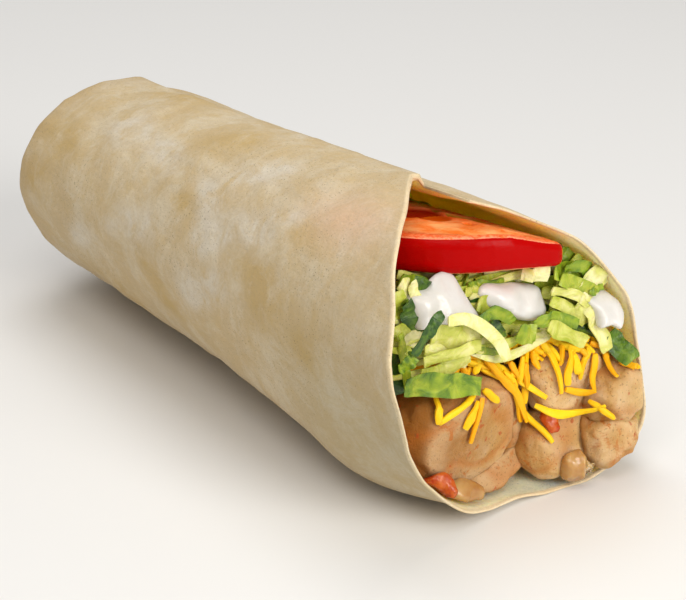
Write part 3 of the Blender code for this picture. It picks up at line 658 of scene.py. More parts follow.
# Painted browning and shade: darker towards each chunk's near side, where the tortilla's lip shades
# it.
colour = blended(tree, stored(tree, "browned"), colour, (0.31, 0.10, 0.006))
colour = tinted(tree, colour, stored(tree, "rim"), 0.50, (0.86, 0.62, 0.35))
stain = mottle(tree, place, 150, 0.52, 0.62, 5, 0.75, 0.8)
stain = maths(tree, "MULTIPLY", stain, stretched(tree, stored(tree, "torn"), 0, 1, 0.10, 0.70))
spots = mottle(tree, place, 230, 0.63, 0.67, 4, 0.6, 0.5)
for seasoning, most in ((spots, 0.75), (stored(tree, "crease"), 0.45)):
    stain = maths(tree, "MAXIMUM", stain, maths(tree, "MULTIPLY", seasoning, most))
colour = blended(tree, stain, colour, (0.56, 0.16, 0.012))
flecks = mottle(tree, place, 520, 0.67, 0.70, 2, 0.5)
colour = tinted(tree, colour, flecks, 0.65, (0.55, 0.08, 0.010))
pores = mottle(tree, place, 2100, 0.64, 0.70, 1, 0.5)
colour = tinted(tree, colour, pores, 0.45, (0.24, 0.10, 0.03))
moist = mottle(tree, place, 240, 0.35, 0.65, 3)
tree.links.new(stretched(tree, moist, 0, 1, 0.34, 0.60), shader.inputs["Roughness"])
surface(tree, shader, colour, mottle(tree, place, 620, 0.3, 0.7, 6, 0.8), 0.00035)

chicken = []
for number, (node, grain_way, amount, browning_and_shade, grow, cut) in enumerate(CHUNKS):
    name = "cut_" + node if cut else "chicken_behind"
    chunk = fresh_copy(node, name, FINE_MESH if cut else BED_MESH)
    ease(chunk, 4)
    rims = slice_face(chunk, grow, cut)
    ease(chunk, 3)
    shape_meat(chunk, grain_way, amount, number * 3.7, rims)
    # The near side of each chunk is painted darker, partly browning and partly painted shade.
    sides = [vertex.co.x for vertex in chunk.data.vertices]
    near, wide = min(sides), max(sides) - min(sides)
    browned = [between(*browning_and_shade, smooth_step((side - near) / wide)) for side in sides]
    add_values(chunk, browned=browned)
    tidy_surface(chunk)
    chunk.data.materials.append(finish)
    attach(chunk, "root")
    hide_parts(node)
    chicken.append(chunk)

# ---------------------------------------------------------------- grated cheese
# Shreds of mild orange cheese, about 1.5 mm across, dropped on the chicken and softened by its
# warmth, so that they bend over the chunks. The rest is a bed packed behind.

CELL, PILE_SIDE, PILE_TOP = 0.0005, 0.0400, 0.0660  # a grid over the mouth, for laying shreds
PILE_X = np.arange(-PILE_SIDE, PILE_SIDE + CELL / 2, CELL)
PILE_Z = np.arange(0, PILE_TOP + CELL / 2, CELL)
CLEAR = 0.0003
STEPS = 13  # points along a shred or strip


def tree_of(objects):
    """A search tree over the faces of these objects, for laying one piece on others."""
    points, faces = [], []
    for obj in objects:
        first = len(points)
        points += [vertex.co.copy() for vertex in obj.data.vertices]
        faces += [[first + i for i in face.vertices] for face in obj.data.polygons]
    return BVHTree.FromPolygons(points, faces)


def front_of(objects, deepest):
    """How far in a thing pushed through the mouth gets, over a fine grid (across, up)."""
    tree = tree_of(objects)
    front = np.full((len(PILE_X), len(PILE_Z)), deepest)
    for i, x in enumerate(PILE_X):
        for k, z in enumerate(PILE_Z):
            hit = tree.ray_cast(Vector((x, MOUTH_Y - 0.05, z)), Vector((0, 1, 0)))[0]
            if hit is not None:
                front[i, k] = min(hit.y, deepest)
    return front


def cells_near(x, z, reach):
    """The part of the grid that a piece of this half width covers here."""
    spans = []
    for place, first, cells in ((x, -PILE_SIDE, len(PILE_X)), (z, 0, len(PILE_Z))):
        low, high = (round((place - first + side * reach) / CELL) for side in (-1, 1))
        spans.append(slice(max(low, 0), within(high, 0, cells - 1) + 1))
    return tuple(spans)


def angle_of(offset, run):
    """The roll's own angle for a direction across it, found by halving."""
    aim = math.atan2(offset.z, offset.x)
    low, high = math.degrees(aim) - 40, math.degrees(aim) + 40  # it is never further off
    for _ in range(16):
        angle = (low + high) / 2
        across, up = section(angle, run)
        here = math.atan2(up * half_height(run), across * half_width(run))
        short = (here - aim + math.pi) % (2 * math.pi) - math.pi
        if short < 0:
            low = angle
        else:
            high = angle
    return (low + high) / 2 % 360


def pressed_in(point, clear):
    """The point, or the nearest one to it that is this far inside the tortilla."""
    run = point.y - MOUTH_Y
    middle = Vector((AXIS_X, point.y, half_height(run)))
    offset = point - middle
    angle = angle_of(offset, run)
    wall = roll_point(angle, run, inner_step(angle) - clear, END_LAYERS) - middle
    share = min(wall.length / max(offset.length, 1e-9), 1)
    pressed = middle + offset * share
    pressed.z = max(pressed.z, WALL + clear)
    return pressed


def along(points, share):
    """A place on the smooth line through these points."""
    spans = len(points) - 1
    first = min(int(share * spans), spans - 1)
    part = share * spans - first
    a, b, c, d = (Vector(points[within(first + k, 0, spans)]) for k in (-1, 0, 1, 2))
    bent = (2 * a - 5 * b + 4 * c - d) * (part**2 / 2) + (3 * b - a - 3 * c + d) * (part**3 / 2)
    return b + (c - a) * (part / 2) + bent


def laid_route(front, points, run, width, thickness, wave=0.0, seed=0.0):
    """A route through these places (across, up, in mm), this far in or on what lies before that."""
    places = [along(points, i / (STEPS - 1)) / 1000 for i in range(STEPS)]
    depths = []
    for i, place in enumerate(places):
        near = front[cells_near(place.x + AXIS_X, place.y, width * 0.4)].min()
        wanted = MOUTH_Y + run / 1000 + wave * math.sin(seed + i * 0.7)
        depths.append(min(wanted, near - thickness / 2 - 0.0001))
    depths = np.array(depths)
    for _ in range(4):
        padded = np.concatenate([depths[:1], depths, depths[-1:]])
        depths = np.minimum((padded[:-2] + 2 * padded[1:-1] + padded[2:]) / 4, depths)
    route = []
    for place, depth in zip(places, depths):
        route.append(pressed_in(Vector((place.x + AXIS_X, depth, place.y)), CLEAR + width * 0.3))
    return route


EDGE_THINNING = 0.6


def swept(pattern, route, width, thickness, twist, seed, taper, lean=0.0, cup=0.0, ruffle=0.0):
    """The pattern, a straight strip, carried along a route that faces the mouth.

    It may twist and lean, taper to its ends, and be cupped across and ruffled along its edges."""
    points, frames = [], []
    for i, here in enumerate(route):
        ahead = route[min(i + 1, STEPS - 1)] - route[max(i - 1, 0)]
        ahead.normalize()
        across = ahead.cross(Vector((0, -1, 0))).normalized()
        out = across.cross(ahead).normalized()
        turn = lean + twist * math.sin(i / (STEPS - 1) * math.pi * 1.3 + seed)
        turn = Matrix.Rotation(turn, 3, ahead)
        frames.append((turn @ across, turn @ out))
    for step, side, thick in pattern:
        here = route[int(step)]
        across, out = frames[int(step)]
        share = step / (STEPS - 1)
        narrow = 1 - taper * abs(2 * share - 1) ** 3
        wave = ruffle * math.sin(math.tau * 2.6 * share + seed + 2.4 * side) * abs(2 * side) ** 1.4
        wave += cup * (4 * side * side - 0.4)
        ragged = 1 + 0.30 * noise.noise(Vector((share * 4, seed, side * 0.7)))
        place = here + across * side * width * narrow * ragged
        height = thick * thickness * (1 - EDGE_THINNING * abs(2 * side)) * narrow
        points.append(place + out * (height + wave))
    return points


def heap_mesh(name, core, pieces):
    """Joins the loose pieces and their core as one mesh. Returns it and each point's own piece."""
    points = [vertex.co.copy() for vertex in core.data.vertices]
    faces = [list(face.vertices) for face in core.data.polygons]
    owner = [-1] * len(points)
    for number, (piece, piece_faces) in enumerate(pieces):
        first = len(points)
        points += piece
        owner += [number] * len(piece)
        faces += [[first + i for i in face] for face in piece_faces]
    mesh = bpy.data.meshes.new(name)
    mesh.from_pydata(points, [], faces)
    obj = bpy.data.objects.new(name, mesh)
    bpy.context.scene.collection.objects.link(obj)
    bpy.data.objects.remove(core, do_unlink=True)
    return obj, owner


def cut_away_front(obj, place, way):
    """Cuts a solid along a plane, keeps what lies behind it, and closes the cut."""
    edit_all(obj)
    bpy.ops.mesh.bisect(plane_co=place, plane_no=way, use_fill=True, clear_inner=True)
    bpy.ops.object.mode_set(mode="OBJECT")


def drop_loose_bodies(obj):
    """Keeps the largest body of a mesh."""
    edit_all(obj)
    bpy.ops.mesh.separate(type="LOOSE")
    bpy.ops.object.mode_set(mode="OBJECT")
    bodies = sorted(bpy.context.selected_objects, key=lambda body: len(body.data.vertices))
    for body in bodies[:-1]:
        bpy.data.objects.remove(body, do_unlink=True)
    return bodies[-1]


def strip_pattern(sides):
    """A straight strip, modelled once: a bar cut into equal steps along and across.

    Returns its points as (step, side, thickness), and its faces."""
    bpy.ops.object.select_all(action="DESELECT")
    bpy.ops.mesh.primitive_cube_add(size=1)
    bar = bpy.context.object

    def cut(axis, cuts):
        """Cuts the bar's edges that run along one axis."""
        for item in (bar.data.vertices, bar.data.edges, bar.data.polygons):
            item.foreach_set("select", [False] * len(item))
        for edge in bar.data.edges:
            ends = [bar.data.vertices[i].co for i in edge.vertices]
            edge.select = abs((ends[1] - ends[0]).normalized()[axis]) > 0.99
        bpy.ops.object.mode_set(mode="EDIT")
        bpy.ops.mesh.subdivide(number_cuts=cuts)
        bpy.ops.object.mode_set(mode="OBJECT")

    bpy.ops.object.mode_set(mode="EDIT")
    bpy.ops.mesh.select_mode(type="EDGE")
    bpy.ops.object.mode_set(mode="OBJECT")
    cut(0, STEPS - 2)
    cut(1, sides - 1)
    corners = [vertex.co for vertex in bar.data.vertices]
    points = [(round((co.x + 0.5) * (STEPS - 1)), co.y, co.z) for co in corners]
    faces = [list(face.vertices) for face in bar.data.polygons]
    bpy.data.objects.remove(bar, do_unlink=True)
    return points, faces


# Each shred that the mouth shows: how far in it may lie, and the places (across, up) that it
# passes, in millimetres.
SHREDS = (
    (4.0, (-4.5, 36.5), (-1.9, 31.5), (3.1, 25.5), (5.9, 22.0), (8.4, 15.6)),
    (5.5, (-6.5, 31.9), (1.3, 28.9), (5.8, 25.6), (11.3, 21.2)),
    (5.5, (9.2, 31.6), (8.8, 27.0), (9.0, 23.3), (8.7, 19.0)),
    (5.0, (10.2, 30.6), (10.6, 27.0)),
    (6.0, (13.0, 31.8), (13.5, 27.6), (14.2, 21.8)),
    (6.0, (17.2, 30.9), (15.9, 27.0), (15.7, 23.2)),
    (6.0, (21.3, 30.0), (19.2, 27.2), (18.9, 23.8)),
    (6.0, (22.6, 28.4), (22.3, 24.2), (20.2, 20.8), (15.2, 22.4)),
    (4.0, (9.9, 19.0), (13.8, 17.0), (19.0, 16.2), (22.4, 18.4)),
    (3.0, (20.4, 18.9), (22.0, 17.6), (24.4, 15.3)),
    (5.0, (7.4, 18.6), (9.6, 15.4), (11.6, 12.0)),
    (4.0, (-14.6, 27.4), (-15.6, 25.4), (-15.9, 22.8)),
    (4.0, (-6.6, 26.2), (-11.6, 24.8), (-15.9, 22.8)),
    (4.0, (-4.9, 25.4), (-6.6, 20.8), (-7.6, 16.2)),
    (4.0, (-6.3, 25.2), (-9.8, 20.2)),
    (4.0, (-4.1, 26.6), (-0.2, 23.0)),
    (4.0, (34.4, 31.0), (33.6, 27.6)),
    (3.5, (30.2, 28.8), (30.8, 25.6)),
    (5.0, (23.0, 30.0), (28.5, 27.4)),
    (4.0, (26.6, 27.6), (26.0, 23.8)),
    (3.0, (28.3, 25.6), (32.0, 24.2)),
    (5.5, (-7.6, 32.0), (-5.4, 27.6)),
    (6.0, (4.9, 24.8), (6.4, 20.0), (7.8, 15.4)),
    (5.0, (17.2, 29.6), (18.2, 25.2)),
    (5.0, (2.0, 34.4), (5.2, 30.0)),
    (5.5, (6.6, 33.2), (12.4, 29.6)),
    (6.0, (24.9, 31.4), (25.3, 28.4)),
    (5.5, (11.4, 32.2), (11.0, 28.6)),
    (5.5, (0.4, 31.0), (3.2, 27.0)),
    (5.5, (14.8, 31.6), (19.6, 29.8)),
    (5.5, (-2.4, 29.6), (2.4, 26.4)),
    (4.5, (4.0, 29.8), (6.6, 25.6)),
    (4.2, (7.0, 30.4), (6.4, 24.8)),
    (4.8, (2.6, 28.0), (6.2, 23.8)),
    (4.4, (7.8, 28.6), (8.6, 23.0)),
    (5.0, (4.6, 27.0), (9.0, 25.4)),
)
SHRED_WIDTH, SHRED_THICKNESS = 0.0015, 0.0012
LOOSE_SHREDS = 58
BED_FRONT, SHREDS_DEEPEST = 0.0118, 0.012
CHEESE_MESH = 0.0008


def heading(angle):
    return Vector((math.cos(angle), math.sin(angle)))


core = fresh_copy("cheese", "cheese_core", CHEESE_MESH)
cut_away_front(core, (0, MOUTH_Y + BED_FRONT, 0), (0, 1, 0))
core = drop_loose_bodies(core)
front = front_of(chicken + [core], MOUTH_Y + SHREDS_DEEPEST)
pattern, faces = strip_pattern(2)
chance = random.Random(11)
shreds = []
for i in range(LOOSE_SHREDS):
    x = chance.uniform(-8, 26)
    middle = Vector((x, chance.uniform(30.0, 34.0) + 0.02 * x))
    way = math.radians(chance.gauss(-60, 50))
    half = heading(way) * chance.uniform(1.8, 4.0)
    bend = Vector((half.y, -half.x)) * chance.uniform(-0.25, 0.25)
    wide = SHRED_WIDTH * chance.uniform(0.65, 1.05)
    places = (middle - half, middle + bend, middle + half)
    route = laid_route(front, places, chance.uniform(4.5, 8.5), wide, SHRED_THICKNESS)
    shreds.append(swept(pattern, route, wide, SHRED_THICKNESS, 0.5, i * 1.3, 0.5))
for i, (run, *places) in enumerate(SHREDS):
    route = laid_route(front, places, run, SHRED_WIDTH, SHRED_THICKNESS)
    wide = SHRED_WIDTH * chance.uniform(0.85, 1.15)
    shreds.append(swept(pattern, route, wide, SHRED_THICKNESS, 0.5, i * 2.1, 0.4))
cheese, owner = heap_mesh("grated_cheese", core, [(shred, faces) for shred in shreds])
tone_of = [chance.random() for _ in shreds]
add_values(cheese, tone=[0.3 if number < 0 else tone_of[number] for number in owner])
tidy_surface(cheese, 62)

finish, tree, shader, place = new_finish(
    "mild orange cheese",
    Roughness=0.40,
    Specular_IOR_Level=0.18,
    Subsurface_Weight=0.3,
    Subsurface_Radius=(0.003, 0.0016, 0.0004),
    Subsurface_Scale=0.5,
)
colour = blended(tree, stored(tree, "tone"), (0.88, 0.37, 0.003), (1.0, 0.61, 0.008))
waxy = mottle(tree, place, 330, 0.35, 0.65, 4)
colour = tinted(tree, colour, waxy, 0.18, (1.0, 0.62, 0.05))
surface(tree, shader, colour, mottle(tree, place, 1100, 0.3, 0.7, 4, 0.7), 0.00010, 0.6)
cheese.data.materials.append(finish)
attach(cheese, "root")
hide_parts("cheese")

# ---------------------------------------------------------------- tomato slice
# Half of a thick round slice of ripe tomato, lying flat: glossy red skin faces the mouth, and
# the cut face shows the pale ring under the skin, salmon flesh, and chambers of jelly and seeds.

TOMATO_RADIUS = 0.0285
TOMATO_FRONT = (0.0131, 0.0026, 0.0494)
TOMATO_CUT = 0.0024  # the straight cut's face lies further across than this
TOMATO_TURNS = (("Z", 7), ("Y", 1.7), ("X", -4))
tomato_place = Matrix.Translation(Vector(TOMATO_FRONT) + Vector((AXIS_X, MOUTH_Y, 0)))
for axis, degrees in TOMATO_TURNS:
    tomato_place = tomato_place @ Matrix.Rotation(math.radians(degrees), 4, axis)

# Each wet place in the flesh: its middle from the slice's own middle, its half sizes, its turn,
# and its tone, from deep red (0) to the yellow-green of the jelly round the seeds (1).
CHAMBERS = (
    # This first, large place on the left is deep red partly as the flesh's own colour and partly as
    # painted shade under the tortilla's lip.
    ((-0.0115, 0.0035), (0.0100, 0.0048), -50, 0.0),
    ((-0.0092, -0.0035), (0.0036, 0.0045), 0, 0.45),
    ((-0.0022, 0.0010), (0.0030, 0.0032), 0, 0.85),
    ((-0.0026, -0.0068), (0.0032, 0.0050), 25, 1.0),
    ((-0.0075, -0.0118), (0.0014, 0.0014), 0, 0.6),
    ((-0.0030, -0.0205), (0.0022, 0.0030), 60, 0.35),
    ((0.0, 0.0160), (0.0060, 0.0050), 0, 0.8),
)


def in_chamber(point):
    """How deep inside a wet place a point of the slice lies, and its tone: 1 is its middle."""
    deepest, found = 0.0, 0.0
    for (x, y), (wide, high), turn, tone in CHAMBERS:
        away = Vector((point.x - x, point.y - TOMATO_RADIUS - y))
        away.rotate(Matrix.Rotation(math.radians(-turn), 2))
        edge = 0.16 * noise.noise(Vector((point.x * 300, point.y * 300, x * 900)))
        far = math.hypot(away.x / wide, away.y / high) + edge
        if 1 - far > deepest:
            deepest, found = 1 - far, tone
    return deepest, found


tomato = fresh_copy("tomato_slice", "tomato_half_slice", FINE_MESH)
ease(tomato, 5)
to_slice = tomato_place.inverted()
marks = {"depth": [], "jelly": [], "wet": []}
for vertex, out in points_and_normals(tomato):
    point = to_slice @ vertex.co
    radius = math.hypot(point.x, point.y - TOMATO_RADIUS)
    facing = to_slice.to_3x3() @ out
    flat = smooth_step((abs(facing.z) - 0.60) / 0.12)
    deep, tone = in_chamber(point)
    chamber = smooth_step(deep * 5.0)
    inward = max(TOMATO_RADIUS - radius, 0.0) * 1000
    under_cut = max(inward, 4.0 * (1 - flat))
    marks["depth"].append(under_cut if point.x > TOMATO_CUT else inward * flat)
    marks["jelly"].append(chamber * flat)
    marks["wet"].append(tone)
    vertex.co -= out * 0.0006 * chamber * flat
    vertex.co += out * 0.00012 * noise.noise(point * 300) * flat
    vertex.co += out * 0.00025 * noise.noise(point * 60)
add_values(tomato, **marks)
tidy_surface(tomato)

finish, tree, shader, place = new_finish(
    "ripe tomato",
    Roughness=0.24,
    Specular_IOR_Level=0.06,
    Subsurface_Weight=0.15,
    Subsurface_Radius=(0.005, 0.0012, 0.0006),
    Subsurface_Scale=0.5,
)
depth = stored(tree, "depth")
uneven = mottle(tree, place, 620, 0.3, 0.7, 4, 0.7)
granular = mottle(tree, place, 1500, 0.35, 0.65, 3)
flesh = mottle(tree, place, 210, 0.36, 0.62, 4, 0.65, 0.4)
flesh = blended(tree, flesh, (0.98, 0.20, 0.03), (1.0, 0.43, 0.15))
band = blended(tree, granular, (0.80, 0.085, 0.012), (0.98, 0.25, 0.085))
inward = maths(tree, "MULTIPLY_ADD", uneven, 1.2, depth)
ring = blended(tree, stretched(tree, inward, 4.0, 6.2), band, flesh)
rim = maths(tree, "MULTIPLY", stretched(tree, inward, 2.0, 1.4), uneven)
ring = blended(tree, rim, ring, (1.0, 0.58, 0.38))
colour = blended(tree, stretched(tree, depth, 0.75, 0.95), (0.40, 0.0008, 0.0006), ring)
seeds = wire(tree, "TexVoronoi", {"Vector": place, "Scale": 420.0}).outputs["Distance"]
wet = stored(tree, "wet")
seeds = maths(tree, "MULTIPLY", stretched(tree, seeds, 0.30, 0.20), stretched(tree, wet, 0.7, 0.8))
red, amber, green = (0.40, 0.004, 0.001), (0.76, 0.12, 0.004), (0.56, 0.36, 0.008)
# Tone 0, the deep red, is partly painted shade at the slice's shaded left end.
pulp = ramp(tree, wet, (0.0, red), (0.5, amber), (1.0, green))
pulp = tinted(tree, pulp, seeds, 0.6, (0.85, 0.52, 0.12))
colour = blended(tree, stored(tree, "jelly"), colour, pulp)
surface(tree, shader, colour, uneven, 0.00008, 0.5)
tomato.data.materials.append(finish)
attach(tomato, "root")
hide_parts("tomato_slice")

# ---------------------------------------------------------------- shredded lettuce
# Iceberg and green leaf lettuce, sliced into strips: thick pale ribs, thin wavy green leaf, and
# a few dark outer edges; the darkest strips are partly painted shade, dark sheets laid where shadow
# falls between them. The strips lie in a loose heap on the cheese, over a packed core.

# Each strip that stands out: how far in it lies, its width, its tone (1 is darkest; the darkest
# tones are partly painted shadow in the gaps), and the places (across, up) that it passes, in
# millimetres.
LEAVES = (
    (16, 2.2, 0.10, (-15.6, 49.2), (-11.3, 47.6), (-6.6, 46.7)),
    (13, 3.6, 0.60, (-17.2, 49.1), (-14.1, 48.0), (-11.0, 46.6)),
    (9, 4.0, 0.93, (-16.8, 49.8), (-14.9, 48.5), (-12.5, 47.1)),
    (9, 3.4, 0.15, (-19.9, 50.5), (-18.4, 49.3), (-17.0, 46.7)),
    (8, 2.0, 0.10, (-17.5, 50.9), (-17.2, 48.1), (-15.5, 45.5)),
    (8, 4.2, 0.50, (-21.5, 49.5), (-21.2, 47.0), (-20.7, 44.0)),
    (6.5, 3.6, 0.95, (-20.2, 47.5), (-19.0, 44.1), (-17.0, 40.5)),
    (6.5, 4.6, 0.40, (-22.7, 42.9), (-21.5, 40.1), (-19.8, 37.2)),
    (4.5, 1.8, 0.50, (-23.0, 42.6), (-21.9, 36.7), (-21.1, 29.8)),
    (1, 3.0, 0.75, (-21.9, 38.9), (-23.3, 38.0), (-25.4, 36.8)),
    # This darkest strip, low on the left, is a painted shadow under the tortilla's lip.
    (6, 4.6, 1.00, (-23.5, 38.7), (-23.2, 34.0), (-22.4, 29.1)),
    (3.5, 5.0, 0.24, (-16.1, 40.3), (-10.6, 39.3), (-4.7, 38.3)),
    (4, 2.6, 0.20, (-17.6, 37.9), (-11.4, 37.4), (-4.5, 36.6)),
    (2.5, 2.8, 0.28, (-18.7, 36.2), (-13.7, 36.2), (-9.3, 36.4), (-4.7, 36.3)),
    (3.5, 2.8, 0.33, (-18.8, 33.4), (-13.3, 32.8), (-7.1, 34.2)),
    (12, 3.4, 0.80, (-4.2, 47.6), (-2.7, 46.4), (-1.2, 44.9)),
    (11, 1.8, 0.30, (-5.2, 47.5), (-2.5, 47.5), (0.7, 46.6)),
    (8.5, 1.3, 0.70, (-3.9, 46.8), (0.3, 46.4), (6.6, 45.4)),
    (10, 3.0, 0.05, (1.2, 47.2), (4.9, 46.6), (8.7, 45.9)),
    (8, 3.2, 0.02, (7.6, 47.3), (12.9, 46.5), (18.6, 45.9)),
    (9, 1.8, 0.12, (6.4, 45.5), (10.0, 44.9), (14.1, 44.2)),
    (8, 2.0, 0.30, (-5.2, 45.8), (-2.5, 44.9), (0.3, 43.0)),
    (7.5, 2.4, 0.08, (-3.8, 44.6), (-2.3, 43.1), (-1.3, 41.8)),
    (6, 3.6, 0.42, (-3.5, 43.7), (0.3, 42.2), (5.1, 39.6)),
    (7, 4.2, 0.50, (12.0, 44.3), (17.2, 42.2), (23.0, 40.0)),
    (6.5, 3.0, 0.35, (12.9, 42.1), (18.4, 41.2), (24.6, 40.6)),
    (8.5, 2.4, 0.97, (17.0, 38.9), (19.1, 38.0), (21.2, 37.0)),
    (5.5, 3.8, 0.42, (14.1, 38.4), (17.7, 37.6), (22.5, 35.6)),
    (5.5, 3.0, 0.30, (15.9, 43.2), (19.1, 41.0), (22.9, 37.2)),
    (5, 3.0, 1.00, (20.3, 34.7), (22.2, 34.5), (24.1, 32.9)),
    (4, 2.2, 0.95, (-1.5, 40.3), (0.1, 38.3), (1.7, 35.7)),
    (7.5, 1.8, 0.92, (18.3, 53.0), (19.4, 51.9), (20.0, 50.7)),
    (6.5, 2.8, 0.75, (18.9, 51.0), (19.5, 49.2), (20.4, 47.3)),
    (5, 3.4, 0.55, (19.6, 48.1), (22.0, 47.6), (24.9, 45.4)),
    (5, 3.6, 0.60, (13.5, 47.0), (19.0, 45.7), (25.8, 42.0)),
    (4, 2.8, 0.68, (16.6, 47.2), (22.2, 46.3), (25.6, 42.8)),
    (3, 2.8, 0.52, (14.7, 45.7), (19.0, 43.5), (24.0, 41.2)),
    (3, 2.2, 0.18, (13.0, 43.4), (19.0, 41.3), (24.9, 36.0)),
    (3.5, 2.4, 0.32, (12.9, 41.3), (17.6, 38.7), (21.8, 34.3)),
    (3, 6.5, 0.06, (21.8, 44.9), (25.2, 44.1), (29.0, 41.5)),
    (2.5, 1.8, 0.72, (22.1, 41.1), (23.9, 41.5), (25.4, 41.8)),
    (3, 3.4, 0.25, (20.2, 39.8), (21.4, 37.4), (23.1, 34.8)),
    (2.5, 3.6, 0.12, (22.0, 38.1), (24.0, 34.3), (26.2, 28.2)),
    (1.5, 4.4, 0.84, (27.3, 31.7), (28.2, 29.0), (29.4, 26.7)),
    (2, 2.4, 0.70, (7.8, 37.8), (10.5, 38.2), (13.6, 38.1), (18.9, 35.3)),
    (2.5, 2.6, 0.70, (-5.4, 41.8), (-2.4, 42.6), (0.3, 41.7), (2.8, 39.4)),
    (1.5, 4.4, 0.55, (3.6, 37.2), (5.7, 36.5), (7.9, 36.2)),
    (1.5, 3.4, 0.33, (10.9, 37.2), (14.6, 34.8), (19.9, 31.9)),
    (0.5, 5.0, 0.68, (-24.3, 33.0), (-18.6, 32.4), (-12.6, 30.4), (-6.2, 28.7)),
    (0.5, 2.6, 0.05, (-14.8, 44.6), (-11.0, 44.1), (-6.1, 41.2), (-2.6, 37.4), (-0.2, 33.0)),
    (0, 2.6, 0.95, (-16.0, 46.5), (-18.5, 44.8), (-20.3, 42.6), (-22.6, 39.4)),
)
LEAF_THICKNESS, LEAF_WAVE = 0.00045, 0.0004
CORE_FRONT, CORE_SLOPE = (0, MOUTH_Y + 0.0170, 0.034), (0, 1, -0.335)
LEAVES_DEEPEST, LETTUCE_MESH = 0.070, 0.0010
LOOSE_STRIPS = 150
# The loose strips stay under the slice of tomato, and may rise past its edge (in millimetres).
UNDER_TOMATO, BESIDE_TOMATO, TOMATO_EDGE = 46.6, 52.0, 17
LOOSE_TONES = (0.03, 0.08, 0.15, 0.2, 0.25, 0.32, 0.4, 0.45, 0.55, 0.65, 0.8, 0.95)

core = fresh_copy("lettuce", "lettuce_core", LETTUCE_MESH)
cut_away_front(core, CORE_FRONT, CORE_SLOPE)
core = drop_loose_bodies(core)
for vertex, out in points_and_normals(core):
    vertex.co += out * 0.0007 * noise.noise(vertex.co * 260)
front = front_of(chicken + [cheese, tomato, core], MOUTH_Y + LEAVES_DEEPEST)
shown_pattern, loose_pattern = strip_pattern(4), strip_pattern(2)
chance = random.Random(5)
strips, tones, edges = [], [], []


def lay_leaf(pattern, places, run, width, tone, seed, lean=0.0):
    """Lays one strip, and keeps the tone of each of its points and how near it is to the edge."""
    points, faces = pattern
    thick = LEAF_THICKNESS * between(1.5, 0.8, tone)
    cup = width * chance.uniform(-0.05, 0.08)
    route = laid_route(front, places, run, width, thick, LEAF_WAVE, seed)
    ruffle = 0.00012 + 0.00022 * tone
    strips.append((swept(points, route, width, thick, 0.25, seed, 0.25, lean, cup, ruffle), faces))
    crimps = (0.05 + 0.75 * tone * (1 - tone)) * (0.3 if run > 1 else 1.0)
    for step, side, _ in points:
        tones.append(tone + crimps * math.sin(step * 2.0 + seed) * abs(side) ** 0.3)
        edges.append(abs(side) * 2)


for i in range(LOOSE_STRIPS):
    x = chance.uniform(-26, 30)
    up = chance.uniform(0, 1)
    middle = Vector((x, between(35.0, 47.0, up) - 0.06 * x))
    way = math.radians(chance.gauss(-14, 13))
    half = heading(way) * chance.uniform(7.0, 13.0)
    bend = Vector((-half.y, half.x)) * chance.uniform(-0.30, 0.30)
    places = [middle - half, middle + bend, middle + half]
    for spot in places:
        spot.y = min(spot.y, UNDER_TOMATO if spot.x < TOMATO_EDGE else BESIDE_TOMATO)
    run = between(5.0, 9.5, up) + chance.uniform(0.0, 5.5)
    width = chance.uniform(0.0011, 0.0024)
    tone, lean = chance.choice(LOOSE_TONES), chance.gauss(0, 0.2)
    lay_leaf(loose_pattern, places, run, width, tone, i * 1.7, lean)
for i, (run, width, tone, *places) in enumerate(LEAVES):
    lay_leaf(shown_pattern, places, run, width / 1000, tone, i * 2.9)
lettuce, owner = heap_mesh("shredded_lettuce", core, strips)
in_core = owner.count(-1)
add_values(lettuce, tone=[0.45] * in_core + tones, edge=[0.0] * in_core + edges)
tidy_surface(lettuce, 60)

finish, tree, shader, place = new_finish(
    "lettuce leaf",
    Roughness=0.34,
    Specular_IOR_Level=0.4,
    Subsurface_Weight=0.2,
    Subsurface_Radius=(0.0012, 0.0018, 0.0004),
    Subsurface_Scale=0.6,
)
veins = mottle(tree, place, 260, 0.35, 0.65, 4, 0.6, 0.8)
tone = maths(tree, "ADD", stored(tree, "tone"), stretched(tree, veins, 0, 1, -0.13, 0.13))
tone = maths(tree, "ADD", tone, stretched(tree, stored(tree, "edge"), 0.0, 1.0, -0.05, 0.06))
# The darkest end of this ramp, a near black green, serves partly as painted shadow between the
# strips.
colour = ramp(
    tree,
    tone,
    (0.0, (0.80, 0.76, 0.38)),
    (0.22, (0.62, 0.62, 0.15)),
    (0.42, (0.42, 0.46, 0.04)),
    (0.62, (0.25, 0.34, 0.015)),
    (0.82, (0.10, 0.19, 0.010)),
    (1.0, (0.022, 0.065, 0.006)),
)
surface(tree, shader, colour, veins, 0.0003, 0.8)
lettuce.data.materials.append(finish)
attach(lettuce, "root")
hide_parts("lettuce")

# ---------------------------------------------------------------- soured cream
# Three spoonfuls of thick white soured cream, dropped on the lettuce: each has slumped to a flat
# pad with rounded edges, and has run down a little between the strips.

